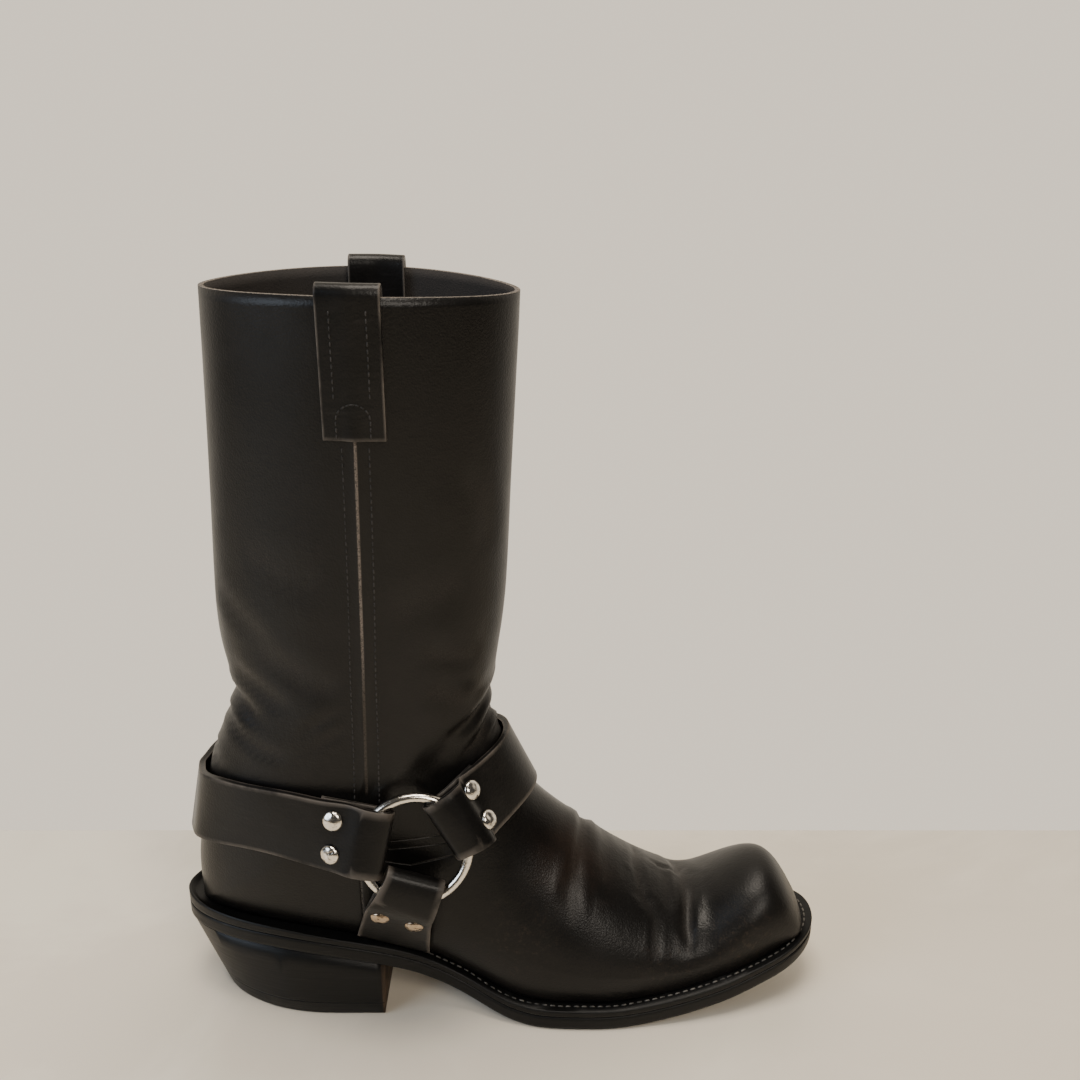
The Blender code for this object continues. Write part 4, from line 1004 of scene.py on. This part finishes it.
class BOOT_OT_stitches(bpy.types.Operator):
    """Lay the stitches of the welt, the side seams and the pull straps"""

    bl_idname = "boot.stitches"
    bl_label = "Stitches"

    def execute(self, context):
        pale = thread_finish("welt_thread", shade(0.028, 0.026, 0.023), shade(0.135, 0.125, 0.110))
        dark = thread_finish("black_thread", shade(0.010, 0.0095, 0.009), shade(0.030, 0.027, 0.025))
        pitch = settings().stitch
        loop = sole_path(WELT_STITCH_INSET, WELT_STITCH_LIFT, pitch)
        front = [point for point in loop if point.x > WELT_STITCH_START]
        stitch_row("welt_stitches_1", front, pitch * WELT_STITCH_SHARE, WELT_THREAD, pale)
        skin = UPPER_SKIN["creased"]
        for label, side in (("lateral", -1), ("medial", 1)):
            for number, shift in ((1, -SEAM_ROW), (2, SEAM_ROW)):
                path = []
                for step in range(SEAM_ROW_POINTS):
                    z = SEAM_ROW_TOP - SEAM_ROW_STEP * step
                    x = seam_place(z) + shift
                    hit = skin.ray_cast(Vector((x, side * BESIDE_SHAFT, z)), Vector((0, -side, 0)))[0]
                    if hit is not None:
                        path.append(hit)
                stitch_row(
                    f"{label}_seam_stitches_{number}", even(path, SEAM_PITCH), SEAM_STITCH, THREAD, dark,
                    skin, THREAD_LIFT,
                )
            strap = tree_of(bpy.data.objects[f"{label}_pull_strap_leather"])
            for number, shift in ((1, -PULL_ROW), (2, PULL_ROW)):
                path = []
                for step in range(PULL_ROW_POINTS + 1):
                    z = PULL_ROW_TOP - PULL_ROW_LENGTH * step / PULL_ROW_POINTS
                    path.append(Vector((PULL_CENTRE + shift, side * BESIDE_PULL, z)))
                stitch_row(
                    f"{label}_pull_stitches_{number}", even(path, PULL_PITCH), PULL_STITCH, THREAD, dark,
                    strap, THREAD_LIFT,
                )
            arch = [Vector((PULL_CENTRE - ARCH_HALF, side * BESIDE_PULL, ARCH_FOOT))]
            for step in range(ARCH_POINTS + 1):
                angle = math.pi * step / ARCH_POINTS
                x = PULL_CENTRE - ARCH_HALF * math.cos(angle)
                z = ARCH_SPRING + ARCH_RISE * math.sin(angle)
                arch.append(Vector((x, side * BESIDE_PULL, z)))
            arch.append(Vector((PULL_CENTRE + ARCH_HALF, side * BESIDE_PULL, ARCH_FOOT)))
            stitch_row(
                f"{label}_pull_stitches_3", even(arch, ARCH_PITCH), ARCH_STITCH, THREAD, dark,
                strap, THREAD_LIFT,
            )
        return {"FINISHED"}


# Where the side seam runs: heights, then x
seam_place = curve_through(
    [0.085, 0.118, 0.140, 0.179, 0.216, 0.251, 0.290],
    [0.0328, 0.0340, 0.0349, 0.0358, 0.0372, 0.0381, 0.0388],
)


# The floor's far edge and size, the camera, and where the lamps aim
FLOOR_END = 0.117
FLOOR_SIZE = 6.0
CAMERA_PLACE = (0.110, -0.491, 0.408)
CAMERA_TILT = 69.738
CAMERA_LENS = 40.0
LAMP_AIM = (0.08, 0.0, 0.14)

# Colours of the room round the boot, and the lamps: place, size, power, colour
WALL_COLOUR = (1.10, 0.98, 0.81, 1.0)
ROOM_COLOUR = (0.060, 0.056, 0.051, 1.0)
LAMPS = (
    ("window_light", (-1.15, -0.75, 0.80), 0.9, 12.0, (0.74, 0.85, 1.0)),
    ("room_light", (0.75, -1.35, 1.25), 0.7, 14.0, (1.0, 0.92, 0.81)),
    ("top_light", (0.10, -0.10, 1.55), 0.7, 17.0, (1.0, 0.91, 0.79)),
)


class BOOT_OT_stage(bpy.types.Operator):
    """Set up the pale floor, the room's light and the camera"""

    bl_idname = "boot.stage"
    bl_label = "Stage"

    def execute(self, context):
        bpy.ops.object.select_all(action="DESELECT")
        middle = (0.1, FLOOR_END - FLOOR_SIZE / 2, 0.0)
        bpy.ops.mesh.primitive_plane_add(size=FLOOR_SIZE, location=middle)
        floor = context.active_object
        floor.name = "studio_floor"
        f = Finish("pale_floor")
        vein = f.noise(3.2, 5, 0.6, distortion=1.5)
        cloud = f.noise(9, 4, 0.6)
        base = f.mix(vein.between(0.42, 0.62), shade(0.78, 0.705, 0.590), shade(0.87, 0.800, 0.675))
        base = f.mix(cloud.between(0.6, 0.8) * 0.25, base, shade(0.60, 0.56, 0.50))
        floor.data.materials.append(f.finish(Base_Color=base, Roughness=0.34))
        for name, place, size, power, colour in LAMPS:
            light = bpy.data.lights.new(name, "AREA")
            light.energy = power
            light.size = size
            light.color = colour
            lamp = bpy.data.objects.new(name, light)
            lamp.location = place
            aim = Vector(LAMP_AIM) - Vector(place)
            lamp.rotation_euler = aim.to_track_quat("-Z", "Y").to_euler()
            context.scene.collection.objects.link(lamp)
        world = bpy.data.worlds.new("studio")
        world.use_nodes = True
        nodes = world.node_tree.nodes
        links = world.node_tree.links
        coords = nodes.new("ShaderNodeTexCoord")
        parts = nodes.new("ShaderNodeSeparateXYZ")
        ramp = nodes.new("ShaderNodeMapRange")
        blend = nodes.new("ShaderNodeMix")
        ramp.interpolation_type = "SMOOTHSTEP"
        ramp.inputs["From Min"].default_value = -0.10
        ramp.inputs["From Max"].default_value = 0.70
        blend.data_type = "RGBA"
        blend.inputs[6].default_value = ROOM_COLOUR
        blend.inputs[7].default_value = WALL_COLOUR
        links.new(coords.outputs["Generated"], parts.inputs[0])
        links.new(parts.outputs["Y"], ramp.inputs["Value"])
        links.new(ramp.outputs["Result"], blend.inputs[0])
        links.new(blend.outputs[2], nodes["Background"].inputs["Color"])
        context.scene.world = world
        view = bpy.data.cameras.new("camera")
        view.lens = CAMERA_LENS
        view.sensor_width = 36.0
        view.clip_start = 0.01
        camera = bpy.data.objects.new("camera", view)
        camera.location = CAMERA_PLACE
        camera.rotation_euler = (math.radians(CAMERA_TILT), 0.0, 0.0)
        context.scene.collection.objects.link(camera)
        context.scene.camera = camera
        return {"FINISHED"}


class BOOT_PT_pieces(bpy.types.Panel):
    """The boot's sizes, colours and pieces"""

    bl_idname = "BOOT_PT_pieces"
    bl_label = "Harness boot"
    bl_space_type = "VIEW_3D"
    bl_region_type = "UI"
    bl_category = "Harness boot"

    def draw(self, context):
        for name in ("leather", "strap", "rubber", "nickel", "stitch"):
            self.layout.prop(settings(), name)
        for operator in OPERATORS:
            self.layout.operator(operator.bl_idname)


OPERATORS = (
    BOOT_OT_upper, BOOT_OT_straps, BOOT_OT_rings, BOOT_OT_rivets,
    BOOT_OT_sole, BOOT_OT_stitches, BOOT_OT_stage,
)


def register():
    for item in (BootSettings,) + OPERATORS + (BOOT_PT_pieces,):
        bpy.utils.register_class(item)
    bpy.types.Scene.harness_boot = bpy.props.PointerProperty(type=BootSettings)


def unregister():
    del bpy.types.Scene.harness_boot
    for item in reversed((BootSettings,) + OPERATORS + (BOOT_PT_pieces,)):
        bpy.utils.unregister_class(item)


def main():
    register()
    bpy.ops.boot.upper()
    bpy.ops.boot.straps()
    bpy.ops.boot.rings()
    bpy.ops.boot.rivets()
    bpy.ops.boot.sole()
    bpy.ops.boot.stitches()
    bpy.ops.boot.stage()


if __name__ == "__main__":
    main()
